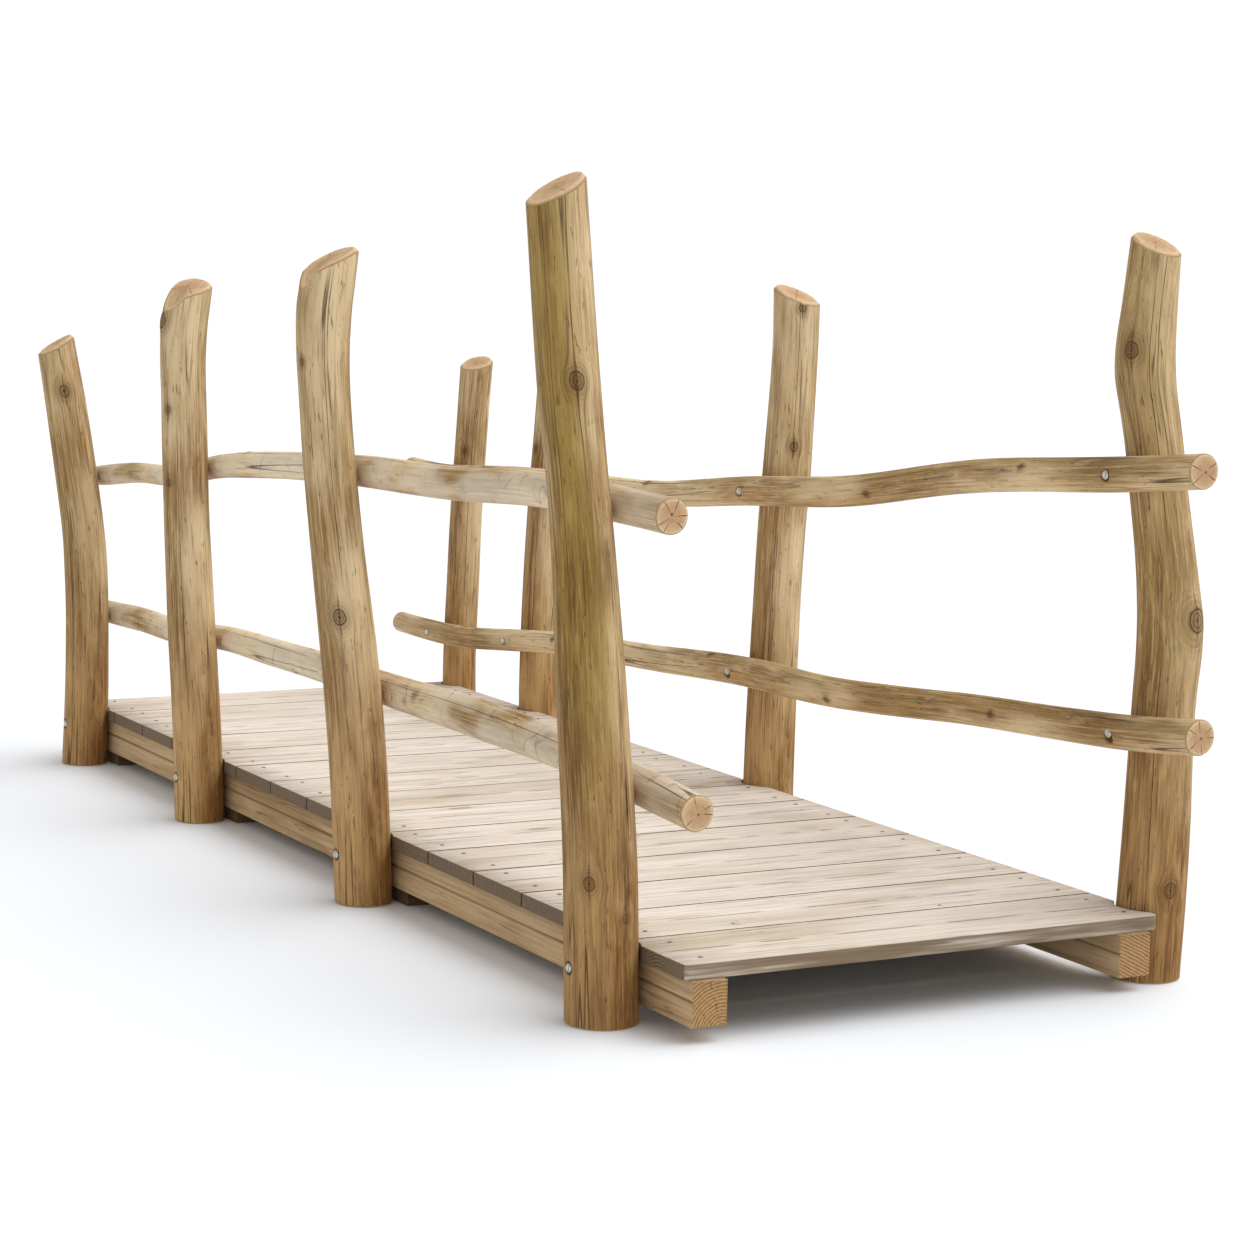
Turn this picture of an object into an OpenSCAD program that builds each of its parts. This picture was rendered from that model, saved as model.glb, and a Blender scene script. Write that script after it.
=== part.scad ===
// Rustic timber footbridge with a level plank deck and a railing of natural logs on both sides.
// The bridge runs along X, its near end towards +X. The ground is z = 0, and the origin lies
// on the ground in the middle of the whole bridge. Left is -Y and right is +Y. Posts, bearers
// and boards are numbered from the near end.

/* [Deck] */
// Number of deck boards
board_count = 15; // [6:1:30]
// Width of one deck board, along the bridge
board_w = 240; // [120:1:320]
// Gap between deck boards
board_gap = 4; // [2:1:12]
// Thickness of a deck board
board_t = 34; // [20:1:60]
// Width of the deck, the length of a board
deck_w = 1200; // [800:10:1800]
// Clearance between a board's notch and the post in it
notch_clear = 4; // [1:0.5:10]

/* [Beams and bearers] */
// Width of a beam
beam_w = 82; // [60:1:140]
// Height of a beam
beam_h = 96; // [70:1:160]
// Length of beam that shows past each end of the deck
beam_past = 15; // [0:1:60]
// How far the boards run past the left beam
overhang_left = 12; // [0:1:60]
// How far the boards run past the right beam
overhang_right = 30; // [0:1:60]
// Height of a bearer, which lies flat on the ground
bearer_h = 35; // [20:1:80]
// Width of a bearer, along the bridge
bearer_w = 145; // [80:1:240]
// How far a bearer's middle lies nearer than its left post
bearer_shift = 15; // [0:1:60]

/* [Left posts] */
// Near left post, from the near end of the deck
left_near_inset = 224; // [100:1:500]
// Far left post, from the far end of the deck
left_far_inset = 143; // [70:1:500]
// First and second bay between left posts, from the near end
left_bays = [1230, 1106]; // [400:1:2000]
// Heights of the left posts
left_post_h = [1712, 1540, 1445, 1250]; // [1150:5:2500]
// Foot diameters of the left posts
left_post_d = [157, 142, 136, 133]; // [100:1:220]

/* [Right posts] */
// Near right post, from the near end of the deck
right_near_inset = 96; // [70:1:500]
// Far right post, from the far end of the deck
right_far_inset = 60; // [50:1:500]
// First and second bay between right posts, from the near end
right_bays = [1616, 1335]; // [400:1:2000]
// Heights of the right posts
right_post_h = [1630, 1470, 1330, 1195]; // [1150:5:2500]
// Foot diameters of the right posts
right_post_d = [156, 138, 124, 112]; // [90:1:220]

/* [Rails] */
// Heights of the left handrail's axis at its posts, from the near end
left_handrail_z = [1071, 1038, 963, 862]; // [700:1:1400]
// Heights of the left midrail's axis at its posts, from the near end
left_midrail_z = [483, 507, 494, 445]; // [300:1:700]
// Heights of the right handrail's axis at its posts, from the near end
right_handrail_z = [1127, 952, 875, 838]; // [700:1:1400]
// Heights of the right midrail's axis at its posts, from the near end
right_midrail_z = [560, 474, 380, 336]; // [240:1:700]
// Diameters of the four rails: left hand, left mid, right hand, right mid
rail_d = [78, 82, 80, 80]; // [50:1:110]
// Length of rail past the near posts: left hand, left mid, right hand, right mid
rail_past_near = [190, 205, 285, 265]; // [100:5:400]
// Length of rail past the far posts: left hand, left mid, right hand, right mid
rail_past_far = [170, 190, 240, 260]; // [100:5:400]

/* [Hidden] */
// Y of the deck's middle line. The left posts lean further out than the right ones, and this
// brings the middle of the whole bridge over the origin.
deck_mid_y = 53;
// Clearance between round logs and what they are bolted to
seat_gap = 0.3;
// How far a bearer's ends stay inside the beams' outer faces
bearer_inset = 6;
// Heights at which a post's foot is fitted to its beam
foot_steps = 6;
// Width of the chamfer round a post's sawn head
log_chamfer = 8;
// Width of the chamfer round a rail's sawn end
rail_chamfer = 4;
// Flat sides of a log
log_sides = 16;
// Rings from foot to head of a post
post_rings = 22;
// Distance between a rail's rings
rail_ring_step = 114;
// Diameter of a rail at its third post, and what its far tail is averaged with at the far post,
// both as shares of the rail's
third_seat_share = 0.84;
far_seat_share = 0.9;
// Sides of the opening for a post, and how far its cut runs past the board's faces
hole_sides = 64;
cut_past = 1;

deck_len = board_count * board_w + (board_count - 1) * board_gap;
near_end = deck_len / 2;
beam_z = bearer_h;
deck_z = beam_z + beam_h;
left_edge = deck_mid_y - deck_w / 2;
right_edge = deck_mid_y + deck_w / 2;

LEFT = 0;
RIGHT = 1;
// Which way is outwards on each side
out = [-1, 1];
beam_face = [left_edge + overhang_left, right_edge - overhang_right];
post_h = [left_post_h, right_post_h];
post_d = [left_post_d, right_post_d];

left_x = [
    near_end - left_near_inset,
    near_end - left_near_inset - left_bays[0],
    near_end - left_near_inset - left_bays[0] - left_bays[1],
    -near_end + left_far_inset
];
right_x = [
    near_end - right_near_inset,
    near_end - right_near_inset - right_bays[0],
    near_end - right_near_inset - right_bays[0] - right_bays[1],
    -near_end + right_far_inset
];
post_x = [left_x, right_x];

// The natural bend and taper of each post. Each row holds a share of the height, the shift
// along the bridge, the shift outwards, and the diameter as a share of the foot's.
bends = [
    [
        [[0, 0, 0, 1], [0.2, -5, 10, 0.99], [0.38, -15, 30, 0.94], [0.56, -30, 50, 0.85],
            [0.65, -35, 65, 0.81], [0.74, -45, 80, 0.82], [0.83, -50, 95, 0.81], [1, -65, 115, 0.8]],
        [[0, 0, 0, 1], [0.2, -5, 15, 0.98], [0.38, -20, 35, 0.96], [0.56, -35, 65, 0.89],
            [0.74, -50, 90, 0.86], [0.84, -55, 98, 0.86], [0.92, -55, 100, 0.94], [1, -54, 94, 1]],
        [[0, 0, 0, 1], [0.2, -5, 10, 0.97], [0.38, -15, 22, 0.95], [0.56, -20, 35, 0.9],
            [0.74, -25, 42, 0.9], [0.84, -25, 46, 0.88], [0.92, -25, 48, 0.93], [1, -22, 40, 0.97]],
        [[0, 0, 0, 1], [0.2, 5, -5, 0.97], [0.38, 5, -5, 0.95], [0.46, 0, -3, 0.96],
            [0.56, -2, 5, 0.93], [0.66, -10, 18, 0.92], [0.83, -25, 45, 0.89], [1, -45, 75, 0.82]]
    ],
    [
        [[0, 0, 0, 1], [0.2, 5, 10, 0.97], [0.38, 5, 12, 0.9], [0.48, 10, 18, 0.95],
            [0.57, 3, 5, 0.88], [0.66, -8, -15, 0.84], [0.75, -18, -34, 0.84],
            [0.83, -30, -56, 0.88], [0.91, -28, -52, 0.79], [1, -25, -44, 0.72]],
        [[0, 0, 0, 1], [0.2, 0, 0, 0.98], [0.42, 3, 5, 0.93], [0.58, 5, 12, 0.93],
            [0.68, 10, 20, 0.94], [0.8, 14, 26, 0.9], [0.9, 16, 30, 0.88], [1, 16, 30, 0.9]],
        [[0, 0, 0, 1], [0.2, -5, -8, 0.94], [0.42, -3, -4, 0.92], [0.6, 2, 3, 0.91],
            [0.75, 8, 14, 0.9], [1, 18, 30, 0.9]],
        [[0, 0, 0, 1], [0.2, -2, -3, 0.95], [0.42, 2, 3, 0.94], [0.6, 4, 8, 0.92],
            [0.8, 10, 18, 0.91], [1, 16, 30, 0.93]]
    ]
];

// The saw cuts on each post's head: the rise along the bridge, the fall outwards, the extra
// fall of a second cut on the outer side, and the share of the radius where that one starts.
cuts = [
    [[-0.04, 0.59, 0, 1], [0, 0.52, 1.9, 0.6], [-0.27, 0.26, 1.1, 0.25], [0.05, 0.6, 0, 1]],
    [[-0.46, 0.11, 0, 1], [-0.38, 0.2, 0, 1], [-0.3, 0.1, 0, 1], [-0.23, -0.32, 0, 1]]
];

// The natural course of each rail between its posts. Each row of a bay holds a share of the
// bay, the shift outwards, the shift upwards, and the diameter as a share of the rail's.
// Bays run from the near end, and the last row of each list is the far tail.
courses = [
    [
        [[0.3, 0, 10, 1], [0.65, 0, -2, 1.02]],
        [[0.4, 0, 8, 0.92], [0.7, 0, 8, 0.92]],
        [[0.35, 0, -18, 0.78], [0.7, 0, 0, 0.76]]
    ],
    [
        [[0.3, 0, 14, 1.05], [0.65, 0, 12, 1.12]],
        [[0.4, 0, 4, 0.94], [0.75, 0, 2, 0.9]],
        [[0.4, 0, -12, 0.84], [0.75, 0, 0, 0.86]]
    ],
    [
        [[0.35, 0, 12, 1], [0.7, 0, -12, 1]],
        [[0.35, 0, -22, 0.9], [0.7, 0, -12, 0.88]],
        [[0.5, 0, 0, 0.85]]
    ],
    [
        [[0.35, 0, -4, 0.95], [0.7, 0, -18, 0.97]],
        [[0.3, 0, 2, 0.94], [0.7, 0, 10, 0.86]],
        [[0.5, 0, -8, 0.86]]
    ]
];
// Rise of each rail's near and far tail, and their diameters as shares of the rail's
tails = [
    [[-5, 0.98], [-18, 0.7]],
    [[-15, 0.95], [-6, 0.78]],
    [[30, 0.98], [5, 0.82]],
    [[30, 1], [0, 0.82]]
];

// Index of the stretch of a table that holds the value s
function stretch(table, s, i = 0) =
    (i >= len(table) - 2 || s < table[i + 1][0]) ? i : stretch(table, s, i + 1);

function steepness(table, i, c) =
    let(a = max(i - 1, 0), b = min(i + 1, len(table) - 1))
    (table[b][c] - table[a][c]) / (table[b][0] - table[a][0]);

// Smooth curve through column c of a table whose first column rises
function smooth(table, s, c) =
    let(
        i = stretch(table, s),
        h = table[i + 1][0] - table[i][0],
        u = min(max((s - table[i][0]) / h, 0), 1),
        p = table[i][c],
        q = table[i + 1][c],
        mp = steepness(table, i, c) * h,
        mq = steepness(table, i + 1, c) * h
    )
    p * (2 * u * u * u - 3 * u * u + 1) + mp * (u * u * u - 2 * u * u + u)
        + q * (3 * u * u - 2 * u * u * u) + mq * (u * u * u - u * u);

function post_radius(side, i, share) = post_d[side][i] / 2 * smooth(bends[side][i], share, 3);

// How far a post's skin reaches from its foot's middle towards the deck, over the beam's height
function foot_reach(side, i) = max([
    for (k = [0:foot_steps])
        let(share = (beam_z + beam_h * k / foot_steps) / post_h[side][i])
        post_radius(side, i, share) - smooth(bends[side][i], share, 2)
]);

// Y of the middle of a post's foot, which stands against its beam
function foot_y(side, i) = beam_face[side] + out[side] * (foot_reach(side, i) + seat_gap);

function post_axis(side, i, share) = [
    post_x[side][i] + smooth(bends[side][i], share, 1),
    foot_y(side, i) + out[side] * smooth(bends[side][i], share, 2)
];

// Height of the sawn head above a point that lies (dx, dy) from the post's axis
function head_z(side, i, dx, dy) =
    let(
        cut = cuts[side][i],
        outwards = out[side] * dy,
        second = max(0, outwards - cut[3] * post_radius(side, i, 1))
    )
    post_h[side][i] + cut[0] * dx - cut[1] * outwards - cut[2] * second;

// A point of a post's skin, at angle a and at a share of the height
function post_point(side, i, a, share) =
    let(
        r = post_radius(side, i, share),
        axis = post_axis(side, i, share),
        reach = post_radius(side, i, 1)
    )
    [
        axis[0] + r * cos(a),
        axis[1] + r * sin(a),
        share * (head_z(side, i, reach * cos(a), reach * sin(a)) - log_chamfer)
    ];

// A point of the chamfered rim of a post's head
function rim_point(side, i, a) =
    let(r = post_radius(side, i, 1) - log_chamfer, axis = post_axis(side, i, 1))
    [axis[0] + r * cos(a), axis[1] + r * sin(a), head_z(side, i, r * cos(a), r * sin(a))];

// Angle of the side of a post that faces the deck
function inner_angle(side) = side == LEFT ? 90 : 270;

// The post's point that faces the deck at height z, on its straight stretch between rings
function inner_point(side, i, z) =
    let(
        a = inner_angle(side),
        top = post_point(side, i, a, 1)[2],
        k = min(floor(z / top * post_rings), post_rings - 1),
        p = post_point(side, i, a, k / post_rings),
        q = post_point(side, i, a, (k + 1) / post_rings),
        u = (z - p[2]) / (q[2] - p[2])
    )
    p + (q - p) * u;

// Closed solid through rings of points with the same number of points in each, capped round
// the middles of its first and last ring
module skin(rings, first_middle, last_middle) {
    n = len(rings[0]);
    last = len(rings) - 1;
    points = concat([for (ring = rings) each ring], [first_middle, last_middle]);
    first_hub = n * len(rings);
    last_hub = first_hub + 1;
    sides = [
        for (k = [0:last - 1], j = [0:n - 1])
            let(j2 = (j + 1) % n, a = k * n + j, b = k * n + j2, c = (k + 1) * n + j2, d = (k + 1) * n + j)
                each [[a, b, c], [a, c, d]]
    ];
    caps = [
        for (j = [0:n - 1])
            let(j2 = (j + 1) % n)
                each [[first_hub, j2, j], [last_hub, last * n + j, last * n + j2]]
    ];
    polyhedron(points, [for (face = concat(sides, caps)) [face[0], face[2], face[1]]], convexity = 10);
}

module post(side, i) {
    angles = [for (j = [0:log_sides - 1]) j * 360 / log_sides];
    trunk = [for (k = [0:post_rings]) [for (a = angles) post_point(side, i, a, k / post_rings)]];
    rim = [for (a = angles) rim_point(side, i, a)];
    foot = post_axis(side, i, 0);
    head = post_axis(side, i, 1);
    color("burlywood")
        skin(concat(trunk, [rim]), [foot[0], foot[1], 0], [head[0], head[1], head_z(side, i, 0, 0)]);
}

// Axis of a rail as rows of x, y, z and radius, from its far end to its near end
function rail_rows(side, kind, heights) =
    let(
        r = rail_d[kind] / 2,
        far = tails[kind][1],
        near = tails[kind][0],
        seats = [for (i = [3:-1:0])
            let(
                p = inner_point(side, i, heights[i]),
                share = i == 3 ? (far[1] + far_seat_share) / 2 : i == 2 ? third_seat_share : 1
            )
            [p[0], p[1] - out[side] * (r * share + seat_gap), heights[i], r * share]
        ],
        spans = [for (b = [0:2])
            let(from = seats[b], to = seats[b + 1], bay = courses[kind][2 - b])
            [for (j = [len(bay) - 1:-1:0])
                let(row = bay[j], u = 1 - row[0])
                [
                    from[0] + (to[0] - from[0]) * u,
                    from[1] + (to[1] - from[1]) * u + out[side] * row[1],
                    from[2] + (to[2] - from[2]) * u + row[2],
                    r * row[3]
                ]
            ]
        ],
        far_end = [
            seats[0][0] - rail_past_far[kind],
            seats[0][1],
            seats[0][2] + far[0],
            r * far[1]
        ],
        near_end_row = [
            seats[3][0] + rail_past_near[kind],
            seats[3][1],
            seats[3][2] + near[0],
            r * near[1]
        ]
    )
    concat(
        [far_end, seats[0]], spans[0], [seats[1]], spans[1], [seats[2]], spans[2],
        [seats[3], near_end_row]
    );

// Places of a rail's rings, with a ring on every row of its axis
function rail_stations(rows) = concat(
    [for (k = [0:len(rows) - 2])
        let(n = max(1, round((rows[k + 1][0] - rows[k][0]) / rail_ring_step)))
        each [for (j = [0:n - 1]) rows[k][0] + (rows[k + 1][0] - rows[k][0]) * j / n]
    ],
    [rows[len(rows) - 1][0]]
);

// Ring of a rail at x, thinner by inset
function rail_ring(rows, x, angles, inset) =
    let(y = smooth(rows, x, 1), z = smooth(rows, x, 2), r = smooth(rows, x, 3) - inset)
    [for (a = angles) [x, y + r * cos(a), z + r * sin(a)]];

module rail(side, kind, heights) {
    rows = rail_rows(side, kind, heights);
    stations = rail_stations(rows);
    angles = [for (j = [0:log_sides - 1]) j * 360 / log_sides];
    first = stations[0] - rail_chamfer;
    last = stations[len(stations) - 1] + rail_chamfer;
    trunk = [for (x = stations) rail_ring(rows, x, angles, 0)];
    color("tan") skin(
        concat(
            [rail_ring(rows, first, angles, rail_chamfer)],
            trunk,
            [rail_ring(rows, last, angles, rail_chamfer)]
        ),
        [first, smooth(rows, first, 1), smooth(rows, first, 2)],
        [last, smooth(rows, last, 1), smooth(rows, last, 2)]
    );
}

function board_x(n) = near_end - board_w / 2 - (n - 1) * (board_w + board_gap);

// Opening that a post needs in the deck, straight up through it
module post_hole(side, i) {
    share = (deck_z + board_t / 2) / post_h[side][i];
    axis = post_axis(side, i, share);
    translate([axis[0], axis[1], deck_z - cut_past]) cylinder(
        h = board_t + 2 * cut_past,
        r = post_radius(side, i, share) + notch_clear,
        $fn = hole_sides
    );
}

// True where a post's hole reaches into board n
function board_meets(n, side, i) =
    abs(post_x[side][i] - board_x(n)) < board_w / 2 + post_d[side][i] / 2 + notch_clear;

module deck_board(n) {
    color("antiquewhite") difference() {
        translate([board_x(n) - board_w / 2, left_edge, deck_z]) cube([board_w, deck_w, board_t]);
        for (side = [LEFT, RIGHT], i = [0:3])
            if (board_meets(n, side, i))
                post_hole(side, i);
    }
}

module beam(side) {
    y = side == LEFT ? beam_face[LEFT] : beam_face[RIGHT] - beam_w;
    color("peru") translate([-near_end - beam_past, y, beam_z])
        cube([deck_len + 2 * beam_past, beam_w, beam_h]);
}

module bearer(i) {
    color("saddlebrown")
        translate([post_x[LEFT][i] + bearer_shift - bearer_w / 2, beam_face[LEFT] + bearer_inset, 0])
            cube([bearer_w, beam_face[RIGHT] - beam_face[LEFT] - 2 * bearer_inset, bearer_h]);
}

post(LEFT, 0);  // post_left_1
post(LEFT, 1);  // post_left_2
post(LEFT, 2);  // post_left_3
post(LEFT, 3);  // post_left_4
post(RIGHT, 0);  // post_right_1
post(RIGHT, 1);  // post_right_2
post(RIGHT, 2);  // post_right_3
post(RIGHT, 3);  // post_right_4
rail(LEFT, 0, left_handrail_z);  // handrail_left
rail(LEFT, 1, left_midrail_z);  // midrail_left
rail(RIGHT, 2, right_handrail_z);  // handrail_right
rail(RIGHT, 3, right_midrail_z);  // midrail_right
beam(LEFT);  // beam_left
beam(RIGHT);  // beam_right
bearer(1);  // bearer_1
bearer(2);  // bearer_2
bearer(3);  // bearer_3
deck_board(1);  // deck_board_01
deck_board(2);  // deck_board_02
deck_board(3);  // deck_board_03
deck_board(4);  // deck_board_04
deck_board(5);  // deck_board_05
deck_board(6);  // deck_board_06
deck_board(7);  // deck_board_07
deck_board(8);  // deck_board_08
deck_board(9);  // deck_board_09
deck_board(10);  // deck_board_10
deck_board(11);  // deck_board_11
deck_board(12);  // deck_board_12
deck_board(13);  // deck_board_13
deck_board(14);  // deck_board_14
deck_board(15);  // deck_board_15
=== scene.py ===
"""Rustic timber footbridge: the finished look of its logs, planks, beams and fixings."""

import math

import bmesh
import bpy
import numpy as np
from bpy.props import FloatProperty, FloatVectorProperty, IntProperty, PointerProperty
from mathutils import Matrix, Vector
from mathutils.bvhtree import BVHTree


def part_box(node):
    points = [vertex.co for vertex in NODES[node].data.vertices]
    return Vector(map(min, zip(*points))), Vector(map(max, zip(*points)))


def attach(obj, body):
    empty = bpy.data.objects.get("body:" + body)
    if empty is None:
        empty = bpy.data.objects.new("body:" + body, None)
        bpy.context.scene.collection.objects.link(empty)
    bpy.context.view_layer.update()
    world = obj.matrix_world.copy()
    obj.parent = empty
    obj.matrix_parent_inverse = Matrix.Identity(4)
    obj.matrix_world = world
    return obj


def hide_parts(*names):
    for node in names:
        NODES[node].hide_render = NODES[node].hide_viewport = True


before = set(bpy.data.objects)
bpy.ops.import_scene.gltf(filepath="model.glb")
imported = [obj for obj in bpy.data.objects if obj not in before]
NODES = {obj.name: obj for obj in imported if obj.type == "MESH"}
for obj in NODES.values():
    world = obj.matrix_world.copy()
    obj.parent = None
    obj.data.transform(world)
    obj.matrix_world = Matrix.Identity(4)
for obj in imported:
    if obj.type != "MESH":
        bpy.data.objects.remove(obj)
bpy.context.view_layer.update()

bl_info = {
    "name": "Timber Footbridge",
    "version": (1, 0, 0),
    "blender": (4, 5, 0),
    "location": "3D View > Sidebar > Footbridge",
    "description": "Builds the natural logs, weathered planks and fixings of a rustic footbridge",
    "category": "Object",
}

MM = 0.001
BODY = "root"
POSTS = [name for name in sorted(NODES) if name.startswith("post_")]
RAILS = [name for name in sorted(NODES) if "rail_" in name]
BOARDS = [name for name in sorted(NODES) if name.startswith("deck_board_")]
BEAMS = ["beam_left", "beam_right"]
BEARERS = [name for name in sorted(NODES) if name.startswith("bearer_")]

# Posts run along Z and rails along X; the other two axes lie across them
POST, RAIL = 0, 1
ALONG = (2, 0)
ACROSS = ((0, 1), (1, 2))
FULL_TURN = 2 * math.pi
# Clear of a rail's chamfered end, and the hollow of a rail's sawn end
CLEAR_OF_END = 5 * MM
END_HOLLOW = 0.5 * MM
# Fine step of a log's mesh round a counterbore
PIT_STEP = 3 * MM
# Length over which a check fades out, and share of the radius over which an end split does
CHECK_FADE = 0.12
SPLIT_FADE = 0.12
# Rings of a sawn end, as shares of the radius, inside a chamfer that starts at RIM
RIM = 0.97
HEAD_RINGS = (0.93, 0.82, 0.68, 0.54, 0.4, 0.27, 0.15, 0.07)
RAIL_END_RINGS = (RIM, 0.9, 0.76, 0.6, 0.44, 0.3, 0.17, 0.08)
# Distance between year rings in the ends of logs and of sawn timber
LOG_YEAR = 4.2 * MM
TIMBER_YEAR = 7.2 * MM
# Length over which a plank's check fades out
DASH_FADE = 0.02
KNOT_HEART = (92, 56, 30)
# Painted shade in the gaps between planks and inside the sunk checks of planks and beams
GROOVE_SHADE = (72, 48, 26)
# Darkest grain of the bearers, deepened by painted shade from the beams over them
NEARLY_BLACK = (0.03, 0.02, 0.012)
# How near a point must lie to count as on a check's line
ON_LINE = 0.05 * MM
FLOOR_REACH = 60.0
LOGS = {}


def srgb(red, green, blue):
    """A colour picked on a screen, 0 to 255, as the plain light values that shaders use."""
    return tuple(
        c / 12.92 if c <= 0.04045 else ((c + 0.055) / 1.055) ** 2.4
        for c in (red / 255, green / 255, blue / 255)
    )


def tone(name, red, green, blue, description):
    return FloatVectorProperty(
        name=name,
        description=description,
        subtype="COLOR",
        size=3,
        min=0,
        max=1,
        default=srgb(red, green, blue),
    )


def length(name, millimetres, description):
    return FloatProperty(
        name=name, description=description, unit="LENGTH", min=0, default=millimetres * MM
    )


# --- sizes and colours that a user would change -------------------------------------------------


class FootbridgeLogs(bpy.types.PropertyGroup):
    """Natural logs of the posts and rails"""

    post_sides: IntProperty(name="Post Sides", description="Facets round a post", min=24, default=72)
    rail_sides: IntProperty(name="Rail Sides", description="Facets round a rail", min=16, default=48)
    ring_step: length("Ring Step", 10, "Distance between the rings of a log")
    lump: length("Lumps", 0.9, "How far the surface of a log swells and sinks")
    head_chamfer: length("Head Chamfer", 8, "Chamfer round a sawn post head")
    end_chamfer: length("End Chamfer", 4, "Chamfer round a sawn rail end")
    foot_round: length("Foot Round", 4, "Worn rim of a post's foot")
    check_depth: length("Check Depth", 5, "Depth of a drying check")
    pale: tone("Pale Wood", 228, 204, 162, "Sunlit, bleached wood of a log")
    honey: tone("Honey Wood", 180, 146, 95, "Middle tone of a debarked log")
    brown: tone("Brown Wood", 120, 88, 47, "Darkest streaks of a debarked log")
    damp: tone("Damp Wood", 218, 192, 152, "Tint of a log's lower end")
    grey: tone("Bleached Wood", 226, 212, 190, "Greyer wood of a scraped rail")
    knot: tone("Knots", 88, 56, 28, "Heart of a knot")
    # The check tone is also painted as shade inside the counterbores, the sunk checks and the end
    # splits
    check: tone("Checks", 70, 44, 22, "Inside of a drying check")
    green: tone("Algae", 206, 196, 142, "Tint of the damp side of a log")
    end_pale: tone("Pale End Grain", 216, 182, 142, "Fresh wood of a sawn end")
    end_brown: tone("Brown End Grain", 164, 124, 84, "Dark year rings of a sawn end")


class FootbridgeTimber(bpy.types.PropertyGroup):
    """Sawn planks, beams and bearers"""

    arris: length("Arris", 2.4, "Rounded arris of a plank")
    corner: length("Plank Corner", 12, "Round of the near plank's outer corners")
    beam_arris: length("Beam Arris", 2, "Rounded arris of a beam")
    groove: length("Check Width", 10, "Width of the check along a plank's middle")
    groove_depth: length("Check Depth", 3.5, "Depth of the check along a plank's middle")
    warp: length("Warp", 1.2, "How far one plank lies below its neighbour")
    pale: tone("Pale Plank", 245, 236, 226, "Bleached top of a plank")
    warm: tone("Warm Plank", 200, 181, 156, "Browner streaks of a plank")
    grey: tone("Grey Plank", 122, 102, 78, "Weathered streaks and ends of a plank")
    plank_end: tone("Plank End", 156, 138, 114, "Weathered end grain of a plank")
    plank_ring: tone("Plank Rings", 98, 82, 62, "Year rings in the end grain of a plank")
    beam: tone("Beam", 214, 185, 144, "Sawn face of a beam")
    beam_brown: tone("Beam Streaks", 152, 115, 73, "Darker grain of a beam")
    beam_end: tone("Beam End", 190, 154, 106, "Pale end grain of a beam")
    beam_ring: tone("Beam Rings", 124, 86, 46, "Year rings in the end grain of a beam")
    # The bearers' tones are dark wood, darkened further by painted shade from the beams over them
    bearer: tone("Bearer", 120, 92, 62, "Damp wood of a bearer")
    bearer_brown: tone("Bearer Streaks", 78, 56, 36, "Darker grain of a bearer")


class FootbridgeFixings(bpy.types.PropertyGroup):
    """Screws and bolts"""

    screw_head: length("Screw Head", 11, "Diameter of a deck screw's head")
    screw_inset: length("Screw Spacing", 70, "From a plank's middle line to its screws")
    bolt_head: length("Bolt Head", 21, "Diameter of a dome bolt's head")
    pit_depth: length("Counterbore Depth", 6, "Depth of the hole that a bolt's head sits in")
    pit_width: length("Counterbore", 32, "Diameter of the hole that a bolt's head sits in")
    foot_bolt_height: length("Foot Bolt Height", 122, "Height of the bolts at the posts' feet")
    steel: tone("Steel", 206, 204, 198, "Galvanised steel")


class FootbridgeStudio(bpy.types.PropertyGroup):
    """Camera, lights and floor"""

    camera_place: FloatVectorProperty(
        name="Camera", description="Place of the camera", subtype="TRANSLATION", size=3,
        default=(7.0963, -3.6100, 1.6418),
    )
    camera_azimuth: FloatProperty(
        name="Azimuth", description="Turn of the camera round the bridge", subtype="ANGLE",
        default=math.radians(61.083),
    )
    camera_elevation: FloatProperty(
        name="Elevation", description="Tilt of the camera above the horizon", subtype="ANGLE",
        default=math.radians(7.421),
    )
    camera_roll: FloatProperty(
        name="Roll", description="Roll of the camera about its own axis", subtype="ANGLE",
        default=math.radians(1.467),
    )
    lens: FloatProperty(name="Lens", description="Focal length in millimetres", default=88.875)
    floor: tone("Floor", 245, 248, 252, "Pale studio floor")
    key: FloatProperty(name="Key Light", description="Strength of the soft key light", default=2.4)
    key_softness: FloatProperty(
        name="Softness", description="Angle that the key light fills", subtype="ANGLE",
        default=math.radians(65),
    )
    key_from: FloatVectorProperty(
        name="Key From", description="Direction that the key light comes from", size=3,
        default=(0.2, 0.6, 1.1),
    )
    sky: FloatProperty(name="Ceiling", description="Brightness of the surround overhead", default=0.48)
    horizon: FloatProperty(name="Backdrop", description="Brightness of the surround", default=1.02)


# --- shader maths -------------------------------------------------------------------------------


class Field:
    """A value that varies over a surface. Arithmetic on it adds the nodes that work it out."""

    def __init__(self, finish, socket):
        self.finish = finish
        self.socket = socket

    def __add__(self, other):
        return self.finish.maths("ADD", self, other)

    def __radd__(self, other):
        return self.finish.maths("ADD", other, self)

    def __sub__(self, other):
        return self.finish.maths("SUBTRACT", self, other)

    def __rsub__(self, other):
        return self.finish.maths("SUBTRACT", other, self)

    def __mul__(self, other):
        return self.finish.maths("MULTIPLY", self, other)

    def __rmul__(self, other):
        return self.finish.maths("MULTIPLY", other, self)

    def __truediv__(self, other):
        return self.finish.maths("DIVIDE", self, other)

    def __abs__(self):
        return self.finish.maths("ABSOLUTE", self)

    def between(self, low, high):
        """0 where the value is at low, 1 at high, smooth in between; low may be the larger."""
        return self.finish.node(
            "ShaderNodeMapRange",
            {"interpolation_type": "SMOOTHSTEP"},
            {"Value": self, "From Min": low, "From Max": high},
        )


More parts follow.
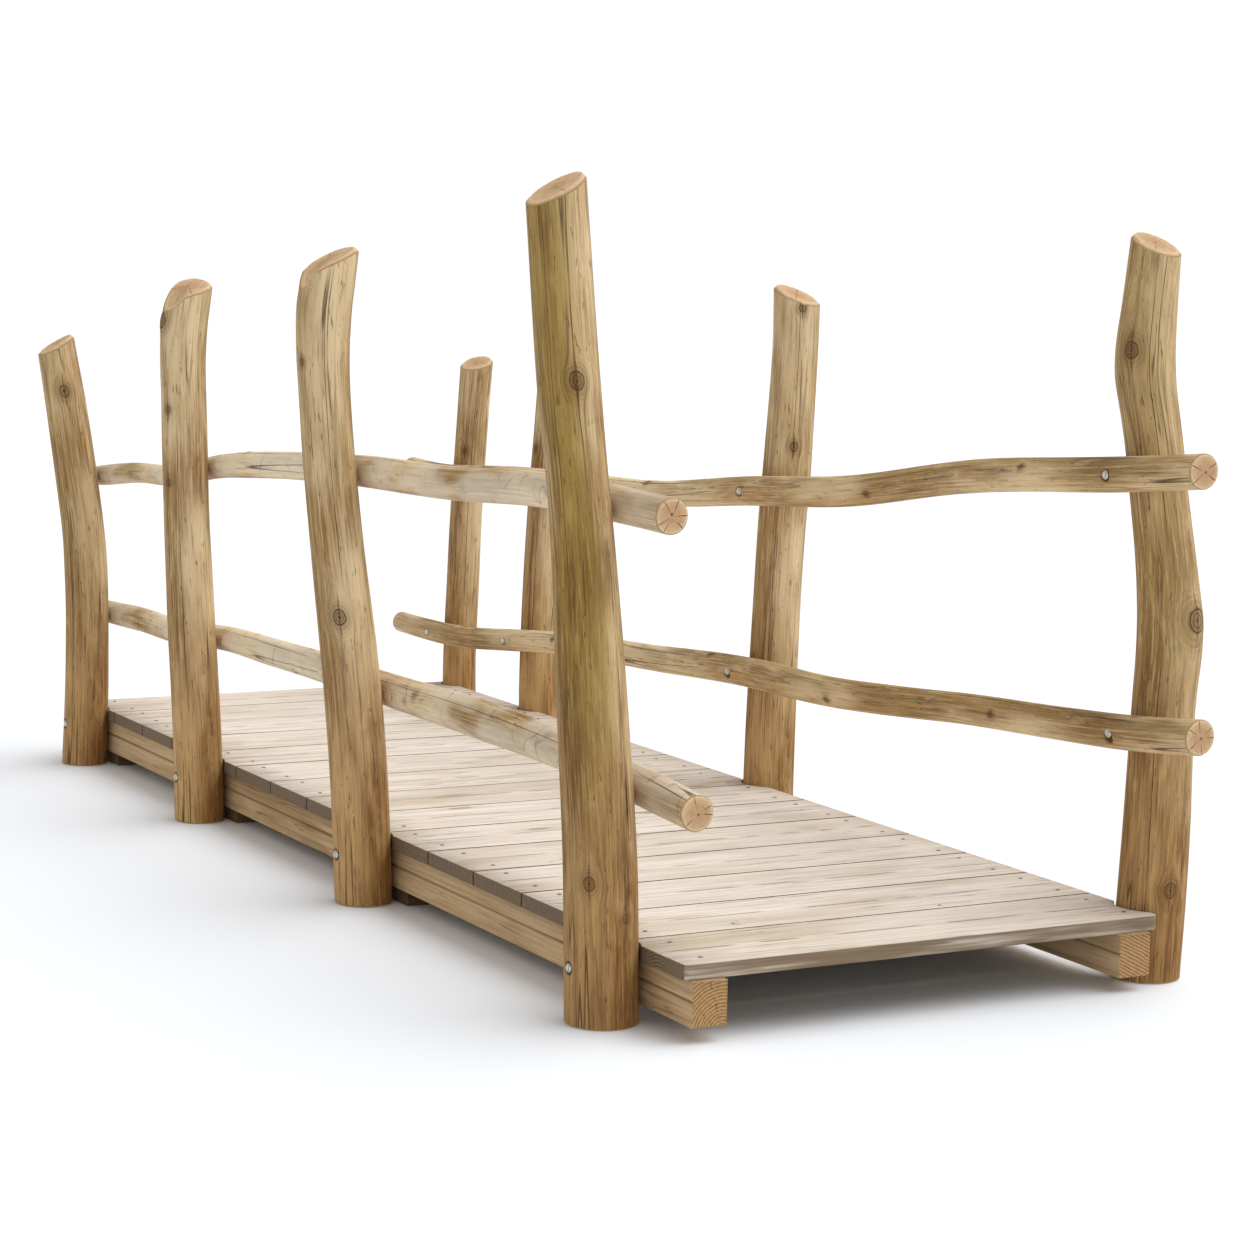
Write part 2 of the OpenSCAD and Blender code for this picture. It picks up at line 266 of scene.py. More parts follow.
class Finish:
    """One material under construction."""

    def __init__(self, name):
        self.begin(bpy.data.materials.new(name))

    @classmethod
    def of(cls, world):
        made = cls.__new__(cls)
        made.begin(world)
        return made

    def begin(self, owner):
        self.material = owner
        owner.use_nodes = True
        self.tree = owner.node_tree
        self.tree.nodes.clear()

    def node(self, kind, settings=(), inputs=(), output=0):
        """Adds one node: its settings first, then the values or links of its sockets."""
        made = self.tree.nodes.new(kind)
        for key, value in dict(settings).items():
            setattr(made, key, value)
        for key, value in dict(inputs).items():
            named = [s for s in made.inputs if s.identifier == key]
            socket = named[0] if named else made.inputs[key]
            if isinstance(value, Field):
                self.tree.links.new(value.socket, socket)
            else:
                socket.default_value = value
        return Field(self, made.outputs[output]) if made.outputs else None

    def maths(self, operation, *values):
        return self.node("ShaderNodeMath", {"operation": operation}, enumerate(values))

    def vector(self, operation, *values, output=0):
        return self.node("ShaderNodeVectorMath", {"operation": operation}, enumerate(values), output)

    def noise(self, place, scale, detail=2.0, roughness=0.5):
        """Noise from 0 to 1, with a scale for each direction."""
        return self.node(
            "ShaderNodeTexNoise",
            {},
            {
                "Vector": self.vector("MULTIPLY", place, scale),
                "Scale": 1.0,
                "Detail": detail,
                "Roughness": roughness,
            },
        )

    def ridges(self, place, scale, width, detail=2.0):
        """1 along thin wandering lines and 0 beside them."""
        return abs(self.noise(place, scale, detail) - 0.5).between(width, 0.0)

    def mix(self, amount, first, second, blend="MIX"):
        """The first colour where the amount is 0 and the second where it is 1."""
        colours = [c if isinstance(c, Field) else (*c, 1.0) for c in (first, second)]
        return self.node(
            "ShaderNodeMix",
            {"data_type": "RGBA", "blend_type": blend},
            {"Factor_Float": amount, "A_Color": colours[0], "B_Color": colours[1]},
            output=2,
        )

    def attribute(self, name, output=1):
        return self.node("ShaderNodeAttribute", {"attribute_name": name}, {}, output)

    def split(self, vector, axis):
        return self.node("ShaderNodeSeparateXYZ", {}, {"Vector": vector}, axis)

    def bump(self, height, distance, strength):
        return self.node(
            "ShaderNodeBump", {}, {"Height": height, "Distance": distance, "Strength": strength}
        )

    def surface(self, colour, roughness, normal=None, metallic=0.0, specular=0.3):
        inputs = {
            "Base Color": colour if isinstance(colour, Field) else (*colour, 1.0),
            "Roughness": roughness,
            "Metallic": metallic,
            "Specular IOR Level": specular,
        }
        if normal:
            inputs["Normal"] = normal
        shader = self.node("ShaderNodeBsdfPrincipled", {}, inputs)
        self.node("ShaderNodeOutputMaterial", {}, {"Surface": shader})
        return self.material


# --- finishes -----------------------------------------------------------------------------------


def log_finish(name, tones, log, marks, weather):
    """Debarked wood whose grain follows the log and parts round its knots."""
    finish = Finish(name)
    place = finish.attribute("grain_place")
    flow = place
    heart = halo = ripple = 0.0
    ragged = finish.noise(place, (70, 70, 70), 3) - 0.5
    for knot in marks["knots"]:
        centre = log.grain_place(knot["angle"], knot["at"])
        sideways = (-math.sin(knot["angle"]), math.cos(knot["angle"]), 0.0)
        away = finish.vector("SUBTRACT", place, centre)
        squeezed = finish.vector("MULTIPLY", away, (1.0, 1.0, 0.8))
        distance = finish.vector("LENGTH", squeezed, output=1) / knot["size"]
        pull = finish.maths("EXPONENT", distance * distance * -0.3) * 0.92
        drawn = finish.node("ShaderNodeVectorMath", {"operation": "SCALE"}, {0: away, "Scale": pull})
        flow = finish.vector("SUBTRACT", flow, drawn)
        edge = distance + ragged * 0.35
        rings = finish.maths("SINE", edge * 14.0) * 0.5 + 0.5
        outline = abs(edge - 0.9).between(0.16, 0.04)
        inside = edge.between(1.0, 0.9)
        core = edge.between(0.4, 0.2) * knot["dark"]
        heart = heart + inside * (0.15 + rings * 0.45) + outline * 0.6 + core
        halo = halo + distance.between(2.4, 0.9)
        ripple = ripple + distance.between(3.2, 1.3) * rings
        across = finish.vector("DOT_PRODUCT", away, sideways, output=1) + ragged * 0.004
        along = abs(finish.split(away, 2)) / knot["size"]
        crack = abs(across).between(0.0019, 0.0008) * along.between(4.0, 2.0)
        heart = heart + crack * 0.75

    broad = finish.noise(flow, (8, 8, 1.6), 3)
    patches = finish.noise(place, (20, 20, 6), 4, 0.6)
    streaks = finish.noise(flow, (62, 62, 2.0), 5, 0.7)
    fibres = finish.noise(flow, (210, 210, 7), 4, 0.75)
    flecks = finish.noise(flow, (130, 130, 26), 2).between(0.66, 0.71)
    lines = finish.ridges(flow, (30, 30, 0.8), 0.022)
    lines = lines * finish.noise(place, (7, 7, 2)).between(0.46, 0.58)
    checks = finish.ridges(flow, (19, 19, 0.5), 0.012)
    checks = checks * finish.noise(place, (6, 6, 2)).between(0.52, 0.58)

    colour = finish.mix(streaks.between(0.3, 0.62), tones.brown, tones.honey)
    colour = finish.mix(broad.between(0.4, 0.62) * weather["bleach"], colour, tones.pale)
    colour = finish.mix(patches.between(0.52, 0.7) * 0.35, colour, tones.brown)
    colour = finish.mix(patches.between(0.46, 0.3) * 0.5, colour, tones.pale)
    colour = finish.mix(fibres.between(0.5, 0.64) * 0.5, colour, tones.pale)
    colour = finish.mix(fibres.between(0.47, 0.32) * 0.6, colour, tones.brown)
    if log.kind == POST:
        low = finish.split(place, 2).between(0.85, 0.1)
        colour = finish.mix(low * 0.9, colour, tones.damp, "MULTIPLY")
    if weather["green"]:
        side = finish.vector("DOT_PRODUCT", place, weather["towards"], output=1) / log.thickest
        wavy = side + (finish.noise(place, (9, 9, 2.5), 3) - 0.5) * 0.9
        algae = wavy.between(0.25, 0.85) * finish.split(place, 2).between(0.1, 0.75)
        colour = finish.mix(algae * weather["green"], colour, tones.green, "MULTIPLY")
    colour = finish.mix(flecks * 0.55, colour, tones.knot)
    colour = finish.mix(lines * 0.5, colour, tones.brown)
    if marks["knots"]:
        colour = finish.mix(finish.maths("MINIMUM", halo, 1.0) * 0.4, colour, tones.brown)
        colour = finish.mix(finish.maths("MINIMUM", ripple, 1.0) * 0.22, colour, tones.knot)
        colour = finish.mix(finish.maths("MINIMUM", heart, 0.95), colour, tones.knot)
    if weather["scrapes"]:
        arcs = finish.ridges(place, (7, 7, 15), 0.018, 1)
        arcs = arcs * finish.noise(place, (9, 9, 12)).between(0.5, 0.56)
        bleached = finish.noise(place, (12, 12, 5)).between(0.3, 0.6)
        colour = finish.mix(bleached * 0.6, colour, tones.grey)
        colour = finish.mix(arcs * weather["scrapes"], colour, tones.check)
    colour = finish.mix(checks * 0.85, colour, tones.check)
    # Painted shade inside the counterbores and along the sunk checks, carried by the groove attribute
    colour = finish.mix(finish.attribute("groove", 2), colour, tones.check)

    relief = fibres * 0.4 + streaks * 0.6 + patches * 0.5 - checks - lines * 0.4 - flecks * 0.3
    if marks["knots"]:
        relief = relief - finish.maths("MINIMUM", heart, 1.0) * 0.5 + ripple * 0.35
    return finish.surface(colour, 0.62 + fibres * 0.25, finish.bump(relief, 0.0018, 0.9))


def end_finish(name, tones, offset):
    """Sawn end of a log: faint year rings round the pith, short splits and a darker rim."""
    finish = Finish(name)
    place = finish.attribute("grain_place")
    across = finish.attribute("across", 2)
    flat = finish.vector("MULTIPLY", place, (1.0, 1.0, 0.0))
    wander = finish.noise(flat, (38, 38, 1), 2) - 0.5
    pith = finish.vector("SUBTRACT", flat, offset)
    radius = finish.vector("LENGTH", pith, output=1) + wander * 0.006
    rings = finish.maths("SINE", radius * (FULL_TURN / LOG_YEAR)) * 0.5 + 0.5
    mottle = finish.noise(flat, (70, 70, 1), 4)
    saw = finish.noise(finish.vector("ADD", place, offset), (260, 12, 12), 2)
    heartwood = radius.between(0.042, 0.012)
    patchy = rings * 0.4 + mottle.between(0.4, 0.75) * 0.4
    colour = finish.mix(patchy, tones.end_pale, tones.end_brown)
    colour = finish.mix(heartwood * 0.45, colour, tones.end_brown)
    colour = finish.mix(across.between(0.86, 0.9) * 0.35, colour, tones.pale)
    colour = finish.mix(across.between(0.972, 1.0) * 0.7, colour, tones.brown)
    colour = finish.mix(radius.between(0.0042, 0.0018) * 0.85, colour, tones.knot)
    # Painted shade along the sunk end splits, carried by the groove attribute
    colour = finish.mix(finish.attribute("groove", 2), colour, tones.check)
    relief = rings * 0.3 + saw * 0.5 + mottle * 0.2
    return finish.surface(colour, 0.66 + mottle * 0.2, finish.bump(relief, 0.0009, 0.7))


def sawn_finish(name, pale, brown, dark, knots, depth):
    """Sawn wood with knots and with its grain along the third axis of grain_place."""
    finish = Finish(name)
    place = finish.attribute("grain_place")
    shade = finish.attribute("shade", 2)
    broad = finish.noise(place, (7, 7, 2.2), 3)
    streaks = finish.noise(place, (60, 60, 2.0), 5, 0.7)
    fibres = finish.noise(place, (240, 240, 6), 4, 0.75)
    lines = finish.ridges(place, (34, 34, 0.7), 0.02)
    lines = lines * finish.noise(place, (11, 11, 2.2)).between(0.46, 0.62)
    checks = finish.ridges(place, (24, 24, 1.2), 0.006)
    checks = checks * finish.noise(place, (9, 9, 3.4)).between(0.55, 0.62)
    cells = {"Vector": finish.vector("MULTIPLY", place, (9.0, 9.0, 2.6)), "Scale": 1.0}
    ragged = (finish.noise(place, (50, 50, 20)) - 0.5) * 0.06
    apart = finish.node("ShaderNodeTexVoronoi", {}, cells) + ragged
    chosen = finish.split(finish.node("ShaderNodeTexVoronoi", {}, cells, 1), 0).between(0.6, 0.64)
    wear_and_shade = finish.attribute("wear_and_shade", 2)
    colour = finish.mix(streaks.between(0.35, 0.8) * 0.8, pale, brown)
    colour = finish.mix(broad.between(0.45, 0.75) * 0.5 + shade * 0.5, colour, brown)
    colour = finish.mix(fibres.between(0.48, 0.68) * 0.3, colour, dark)
    colour = finish.mix(lines * 0.55, colour, dark)
    # Dark streaks: wear near the plank ends, darkening towards a beam's top, and painted shade on
    # every plank face below the top arris
    rubbed_and_shaded = wear_and_shade * finish.noise(place, (60, 60, 3), 3).between(0.1, 0.55)
    colour = finish.mix(rubbed_and_shaded * 0.95, colour, dark)
    colour = finish.mix(apart.between(0.26, 0.08) * chosen * 0.4, colour, brown)
    colour = finish.mix(apart.between(0.1, 0.07) * chosen * knots, colour, srgb(*KNOT_HEART))
    colour = finish.mix(checks * 0.75, colour, tuple(0.25 * c for c in dark))
    # Painted shade: the groove attribute darkens the gaps between planks and the sunk checks
    colour = finish.mix(finish.attribute("groove", 2) * 0.92, colour, srgb(*GROOVE_SHADE))
    relief = fibres * 0.4 + streaks * 0.4 - checks - lines * 0.35
    raised = finish.bump(relief, depth, 0.9)
    return finish.surface(colour, 0.7 + fibres * 0.22, raised, specular=0.2)


def sawn_end_finish(name, pale, brown, dark, pith):
    """End grain of sawn wood: arcs of year rings round a pith that may lie outside the piece."""
    finish = Finish(name)
    place = finish.attribute("grain_place")
    flat = finish.vector("MULTIPLY", place, (1.0, 1.0, 0.0))
    wander = (finish.noise(flat, (30, 30, 1), 2) - 0.5) * 0.006
    spoke = finish.vector("SUBTRACT", flat, pith)
    radius = finish.vector("LENGTH", spoke, output=1) + wander
    rings = finish.maths("SINE", radius * (FULL_TURN / TIMBER_YEAR)) * 0.5 + 0.5
    mottle = finish.noise(flat, (90, 90, 1), 4)
    turn = finish.maths("ARCTAN2", finish.split(spoke, 1), finish.split(spoke, 0)) + wander * 6
    rays = finish.maths("SINE", turn * 11.0).between(0.97, 1.0) * mottle.between(0.45, 0.55)
    colour = finish.mix(rings * 0.75 + mottle.between(0.4, 0.8) * 0.3, pale, brown)
    colour = finish.mix(rays * 0.6, colour, dark)
    # Plank ends darken partly from wear and partly from painted shade
    colour = finish.mix(finish.attribute("wear_and_shade", 2) * 0.35, colour, dark)
    return finish.surface(colour, 0.8, finish.bump(rings * 0.5 + mottle * 0.5 - rays, 0.0008, 0.7))


def timber_finishes(name, sides, ends, rays, knots, pith, relief=1.2 * MM):
    """The two finishes of sawn timber: along its grain, and on its ends."""
    return (
        sawn_finish(name + "_wood", *sides, knots, relief),
        sawn_end_finish(name + "_end", *ends, rays, pith),
    )


def steel_finish(name, tones):
    finish = Finish(name)
    place = finish.node("ShaderNodeTexCoord", {}, {}, 3)
    spangle = finish.noise(place, (420, 420, 420), 3)
    dull = tuple(0.6 * c for c in tones.steel)
    colour = finish.mix(spangle.between(0.3, 0.7) * 0.4, tones.steel, dull)
    return finish.surface(colour, 0.28 + spangle * 0.2, finish.bump(spangle, 0.0003, 0.4), 1.0, 0.5)


def floor_finish(name, colour):
    finish = Finish(name)
    place = finish.node("ShaderNodeTexCoord", {}, {}, 3)
    mottle = finish.noise(place, (1.5, 1.5, 1.5), 3)
    paper = finish.mix(mottle * 0.04, colour, tuple(0.9 * c for c in colour))
    return finish.surface(paper, 0.9, specular=0.1)


# --- logs ---------------------------------------------------------------------------------------


class Log:
    """The middle line and thickness of a log, read from its CAD node."""

    def __init__(self, name):
        self.name = name
        self.kind = POST if name in POSTS else RAIL
        self.u, self.v = ACROSS[self.kind]
        self.s = ALONG[self.kind]
        mesh = NODES[name].data
        self.points = np.array([v.co for v in mesh.vertices])
        self.edges = np.array([e.vertices for e in mesh.edges])
        self.tree = BVHTree.FromPolygons(
            [v.co for v in mesh.vertices], [p.vertices for p in mesh.polygons]
        )
        self.low = float(self.points[:, self.s].min())
        self.high = float(self.points[:, self.s].max())
        self.read_middle()

    def read_middle(self):
        """Cuts the CAD log across at many places and keeps each cut's middle and radius."""
        start = self.low + (0.0 if self.kind == POST else CLEAR_OF_END)
        self.stations = np.linspace(start + 0.1 * MM, self.wall_end(), 160)
        along = self.points[:, self.s]
        first, second = along[self.edges[:, 0]], along[self.edges[:, 1]]
        cuts = []
        for place in self.stations:
            hit = (first - place) * (second - place) < 0
            share = ((place - first[hit]) / (second[hit] - first[hit]))[:, None]
            a, b = self.points[self.edges[hit, 0]], self.points[self.edges[hit, 1]]
            cut = a + (b - a) * share
            lowest, highest = cut.min(0), cut.max(0)
            middle, half = (lowest + highest) / 2, (highest - lowest) / 2
            cuts.append((middle[self.u], middle[self.v], (half[self.u] + half[self.v]) / 2))
        self.cuts = smoothed(np.array(cuts), 5)
        self.thickest = float(self.cuts[:, 2].max())

    def wall_end(self):
        """Where the full round of the log ends: below the lowest point of a post's sawn head."""
        if self.kind == RAIL:
            return self.high - CLEAR_OF_END
        mesh = NODES[self.name].data
        upward = [p for p in mesh.polygons if p.normal.z > 0.5]
        return min(mesh.vertices[i].co.z for p in upward for i in p.vertices) - 4 * MM

    def middle(self, place):
        """Middle (u, v) and radius at a place along the log, carried straight on past its ends."""
        place = np.asarray(place, float)
        step = self.stations[1] - self.stations[0]
        out = []
        for column in self.cuts.T:
            value = np.interp(place, self.stations, column)
            rise_low = (column[4] - column[0]) / (4 * step)
            rise_high = (column[-1] - column[-5]) / (4 * step)
            value = value + np.minimum(place - self.stations[0], 0) * rise_low
            value = value + np.maximum(place - self.stations[-1], 0) * rise_high
            out.append(value)
        return out

    def grain_place(self, angle, place):
        radius = float(self.middle(place)[2])
        return (radius * math.cos(angle), radius * math.sin(angle), place)

    def head(self, u, v, missed=None):
        """Height of a post's sawn head over a point of the ground."""
        hit = self.tree.ray_cast(Vector((u, v, self.high + 0.1)), Vector((0, 0, -1)))
        return hit[0].z if hit[0] else missed


class Skin:
    """Rings of points round a log, from one end to the other, and what each point carries."""

    def __init__(self, log, angles):
        self.log = log
        self.angles = angles
        self.points, self.grain, self.across, self.dark = [], [], [], []

    def ring(self, u, v, s, reach, twist=0.0, across=1.0, dark=0.0):
        turned = self.angles + twist
        self.add(u + reach * np.cos(turned), v + reach * np.sin(turned), s,
                 reach * np.cos(self.angles), reach * np.sin(self.angles), across, dark)

    def add(self, u, v, s, grain_u, grain_v, across, dark):
        columns = [None, None, None]
        columns[self.log.u], columns[self.log.v], columns[self.log.s] = u, v, s
        self.points.append(np.stack(np.broadcast_arrays(*columns), -1))
        self.grain.append(np.stack(np.broadcast_arrays(grain_u, grain_v, s), -1))
        self.across.append(np.full(np.shape(u), across))
        self.dark.append(np.broadcast_to(dark, np.shape(u)))

    def piece(self, name, hubs):
        """The closed mesh, its ends filled round a hub each."""
        rings, columns = len(self.points), len(self.angles)
        for u, v, s in hubs:
            self.add([float(u)], [float(v)], float(s), [0.0], [0.0], 0.0, 0.0)
        faces, slots = [], []
        for j in range(columns):
            after = (j + 1) % columns
            for k in range(rings - 1):
                row, above = k * columns, (k + 1) * columns
                faces.append((row + j, row + after, above + after, above + j))
                slots.append(int(min(self.across[k][0], self.across[k + 1][0]) < 1))
            last = (rings - 1) * columns
            faces.append((rings * columns, after, j))
            faces.append((rings * columns + 1, last + j, last + after))
            slots += [1, 1]
        mesh = bpy.data.meshes.new(name)
        mesh.from_pydata(np.concatenate(self.points).tolist(), [], faces)
        mesh.polygons.foreach_set("material_index", slots)
        set_attribute(mesh, "grain_place", "FLOAT_VECTOR", np.concatenate(self.grain))
        set_attribute(mesh, "across", "FLOAT", np.concatenate(self.across))
        set_attribute(mesh, "groove", "FLOAT", np.concatenate(self.dark))
        mesh.shade_smooth()
        mesh.set_sharp_from_angle(angle=math.radians(32))
        mesh.validate()
        return linked(name, mesh)


def smoothed(rows, reach):
    """Each row averaged with its neighbours, the ends carried straight on."""
    before = rows[0] + (rows[0] - rows[1]) * np.arange(reach, 0, -1)[:, None]
    after = rows[-1] + (rows[-1] - rows[-2]) * np.arange(1, reach + 1)[:, None]
    padded = np.concatenate([before, rows, after])
    weights = np.hanning(2 * reach + 3)[1:-1]
    weights = weights / weights.sum()
    return np.stack([np.convolve(column, weights, "valid") for column in padded.T], -1)


def step_between(value, low, high):
    share = np.clip((value - low) / (high - low), 0, 1)
    return share * share * (3 - 2 * share)


def turn_from(angles, angle):
    """Signed turns from one angle to others, the short way round."""
    return np.angle(np.exp(1j * (angles - angle)))


def linked(name, data):
    piece = bpy.data.objects.new(name, data)
    bpy.context.scene.collection.objects.link(piece)
    return piece


def set_attribute(mesh, name, kind, values):
    attribute = mesh.attributes.new(name, kind, "POINT")
    field = "vector" if kind == "FLOAT_VECTOR" else "value"
    attribute.data.foreach_set(field, np.asarray(values, np.float32).ravel())


def sizes_of(group):
    return getattr(bpy.context.scene, "footbridge_" + group)


def angles_round(log, marks, sides, pit_reach):
    """Angles of a log's columns, closer together at its counterbores, checks and splits."""
    angles = np.arange(sides) * FULL_TURN / sides

    def replaced(angle, reach, offsets):
        kept = angles[np.abs(turn_from(angles, angle)) * log.thickest > reach]
        return np.concatenate([kept, angle + np.array(offsets) / log.thickest])

    for pit in marks["pits"][:1]:
        count = round(pit_reach / PIT_STEP)
        angles = replaced(pit["angle"], pit_reach, np.arange(-count, count + 1) * PIT_STEP)
    for mark in marks["checks"] + marks["splits"]:
        half = mark["width"] / 2
        angles = replaced(mark["angle"], 1.7 * mark["width"], [-half, 0, half])
    return np.sort(np.mod(angles, FULL_TURN))


def places_along(low, high, step, pits, pit_reach):
    """Even steps from low to high, with finer ones near each counterbore."""
    even = list(np.linspace(low, high, max(2, round((high - low) / step) + 1)))
    count = round(pit_reach / PIT_STEP)
    for pit in pits:
        even = [p for p in even if abs(p - pit["at"]) > pit_reach or p in (low, high)]
        even += [pit["at"] + PIT_STEP * k for k in range(-count, count + 1)]
    return np.array(sorted(p for p in even if low <= p <= high))


def surface_swell(log, angles, places, marks, lump, random):
    """How far each point of a log stands out from its plain round."""
    swell = np.zeros((len(places), len(angles)))
    for _ in range(7):
        waves = random.integers(1, 6)
        pace = random.uniform(2, 16)
        phase = random.uniform(0, FULL_TURN, 2)
        swell += np.sin(waves * angles[None, :] + phase[0]) * np.sin(pace * places[:, None] + phase[1])
    swell = (swell / 4 - 0.7) * lump
    for knot in marks["knots"]:
        sideways = turn_from(angles[None, :], knot["angle"]) * float(log.middle(knot["at"])[2])
        distance = np.hypot(sideways, (places[:, None] - knot["at"]) * 0.75) / knot["size"]
        swell += knot["swell"] * np.exp(-distance * distance * 0.5)
        swell -= knot["swell"] * 0.45 * np.exp(-distance * distance * 5)
    return swell


def sink_marks(log, angles, places, marks, depth, swell):
    """Sinks the counterbores and checks into the swell, and says how dark each point is: painted shade
    inside the counterbores and along the sunk checks.
    """
    fixings = sizes_of("fixings")
    dark = np.zeros_like(swell)
    for pit in marks["pits"]:
        sideways = turn_from(angles[None, :], pit["angle"]) * log.thickest
        distance = np.hypot(sideways, places[:, None] - pit["at"])
        inside = step_between(distance, fixings.pit_width / 2, fixings.pit_width / 2 - PIT_STEP)
        swell -= inside * fixings.pit_depth
        # Painted shade inside the counterbore
        dark = np.maximum(dark, inside * 0.95)
    for mark in marks["checks"]:
        column = nearest(angles, mark)
        ends = step_between(places, mark["from"], mark["from"] + CHECK_FADE)
        ends = ends * step_between(places, mark["to"], mark["to"] - CHECK_FADE)
        swell[:, column] -= depth * ends
        # Painted shade along the sunk check
        dark[:, column] = np.maximum(dark[:, column], ends)
    return dark


def nearest(angles, mark):
    return int(np.argmin(np.abs(turn_from(angles, mark["angle"]))))


def split_depth(angles, marks, across):
    """How deep the splits of a sawn end are on one of its rings, as a share."""
    deep = np.zeros(len(angles))
    for mark in marks["splits"]:
        ends = step_between(across, mark["from"], mark["from"] + SPLIT_FADE)
        deep[nearest(angles, mark)] = float(ends * step_between(across, 1.02, 0.9))
    return deep


def head_rings(skin, marks, depth, start, wall, dark, twist, chamfer):
    """Carries a post up to its slanting sawn head, and closes the head in smaller rings."""
    log = skin.log
    final = skin.angles + twist
    rim = np.zeros(len(final))
    for j, angle in enumerate(final):
        height = log.high
        for _ in range(4):
            u, v, r = (float(x) for x in log.middle(height))
            edge = r + wall[j] - chamfer
            height = log.head(u + edge * math.cos(angle), v + edge * math.sin(angle), height - 10 * MM)
        rim[j] = height
    for part in np.linspace(0.0, 1.0, 11)[1:]:
        s = start + (rim - chamfer - start) * part
        u, v, r = log.middle(s)
        skin.ring(u, v, s, r + wall, twist, 1.0, dark)
    u, v, r = log.middle(rim)
    edge = r + wall - chamfer
    skin.ring(u, v, rim, edge, twist, RIM)
    hub_u, hub_v = float(np.mean(u)), float(np.mean(v))
    for across in HEAD_RINGS:
        share = across / RIM
        ring_u, ring_v = hub_u + (u - hub_u) * share, hub_v + (v - hub_v) * share
        reach = edge * share
        heights = np.array([
            log.head(a, b, 0.0)
            for a, b in zip(ring_u + reach * np.cos(final), ring_v + reach * np.sin(final))
        ])
        deep = split_depth(skin.angles, marks, across)
        # The split's depth also paints shade along it
        skin.ring(ring_u, ring_v, heights - deep * depth, reach, twist, across, deep)
    return hub_u, hub_v, log.head(hub_u, hub_v)


def rail_end_rings(skin, marks, depth, place, inwards, wall, twist, chamfer):
    """The slightly hollow sawn end of a rail; inwards is 1 at its low end and -1 at its high end."""
    end = skin.log.low if inwards > 0 else skin.log.high
    u, v, r = (float(x) for x in skin.log.middle(place))
    for across in RAIL_END_RINGS[::-inwards]:
        deep = split_depth(skin.angles, marks, across)
        s = end + inwards * (deep * depth + END_HOLLOW * (1 - across))
        # The split's depth also paints shade along it
        skin.ring(u, v, s, (r + wall - chamfer) * across / RIM, twist, across, deep)
    return u, v, end + inwards * END_HOLLOW


def log_piece(name, log, marks, sizes, random):
    """A log as a fine closed mesh, with its swelling, checks, counterbores and sawn ends."""
    post = log.kind == POST
    chamfer = sizes.head_chamfer if post else sizes.end_chamfer
    pit_reach = sizes_of("fixings").pit_width / 2 + 4 * MM
    angles = angles_round(log, marks, sizes.post_sides if post else sizes.rail_sides, pit_reach)
    low = log.low + (sizes.foot_round if post else chamfer)
    high = log.stations[-1] if post else log.high - chamfer
    places = places_along(low, high, sizes.ring_step, marks["pits"], pit_reach)
    swell = surface_swell(log, angles, places, marks, sizes.lump, random)
    depth = sizes.check_depth
    dark = sink_marks(log, angles, places, marks, depth, swell)
    twist = marks["twist"] * (places - places[0])
    u, v, r = log.middle(places)
    skin = Skin(log, angles)
    if post:
        first_hub = u[0], v[0], 0.0
        skin.ring(u[0], v[0], 0.0, r[0] + swell[0] - sizes.foot_round, 0.0, RIM)
    else:
        first_hub = rail_end_rings(skin, marks, depth, low, 1, swell[0], 0.0, chamfer)
    for k, place in enumerate(places):
        skin.ring(u[k], v[k], place, r[k] + swell[k], twist[k], 1.0, dark[k])
    if post:
        last_hub = head_rings(skin, marks, depth, high, swell[-1], dark[-1], twist[-1], chamfer)
    else:
        last_hub = rail_end_rings(skin, marks, depth, high, -1, swell[-1], twist[-1], chamfer)
    return skin.piece(name, [first_hub, last_hub])


def knot(degrees, at, size, swell=3.0, dark=0.5):
    """A knot at an angle round the log and a place along it, its sizes in millimetres."""
    angle = math.radians(degrees)
    return {"angle": angle, "at": at, "size": size * MM, "swell": swell * MM, "dark": dark}


def check(degrees, start, end, width=1.6):
    return {"angle": math.radians(degrees), "from": start, "to": end, "width": width * MM}


def split(degrees, start, width):
    """A short radial split of a sawn end, from a share of the radius out to the rim."""
    return {"angle": math.radians(degrees), "from": start, "width": width * MM}


def weather(bleach, green=0.0, towards=(0.0, 0.0, 0.0), scrapes=0.0):
    """How a log has weathered, and the side that its algae face."""
    return {"green": green, "towards": towards, "bleach": bleach, "scrapes": scrapes}


POST_KNOTS = {
    "post_left_1": [knot(-13, 1.328, 16, 4), knot(-45, 0.307, 13, 2.5), knot(13, 0.233, 9, 2),
                    knot(150, 0.92, 16, 3), knot(205, 0.48, 12, 2)],
    "post_left_2": [knot(-34, 0.70, 16, 3.5), knot(-75, 1.30, 8, 1.5), knot(120, 1.12, 15, 3),
                    knot(190, 0.36, 12, 2)],
    "post_left_3": [knot(-64, 1.119, 9, 2), knot(-68, 0.923, 9, 2), knot(-85, 1.354, 17, 7, 0.8),
                    knot(110, 0.62, 14, 3), knot(200, 1.2, 12, 2)],
    "post_left_4": [knot(-16, 1.113, 15, 2.5, 1.0), knot(130, 0.72, 14, 3), knot(-130, 0.5, 10, 2)],
    "post_right_1": [knot(-64, 1.398, 16, 5, 0.7), knot(12, 0.812, 24, 9, 0.3), knot(-8, 0.212, 15, 3),
                     knot(120, 1.10, 16, 4), knot(190, 0.55, 13, 3)],
    "post_right_2": [knot(-17, 1.436, 10, 2), knot(-20, 1.072, 11, 3), knot(140, 0.8, 14, 3)],
    "post_right_3": [knot(-81, 0.963, 9, 2), knot(60, 0.7, 12, 3), knot(170, 0.4, 10, 2)],
    "post_right_4": [knot(-47, 0.916, 8, 2), knot(100, 0.62, 11, 3)],
}

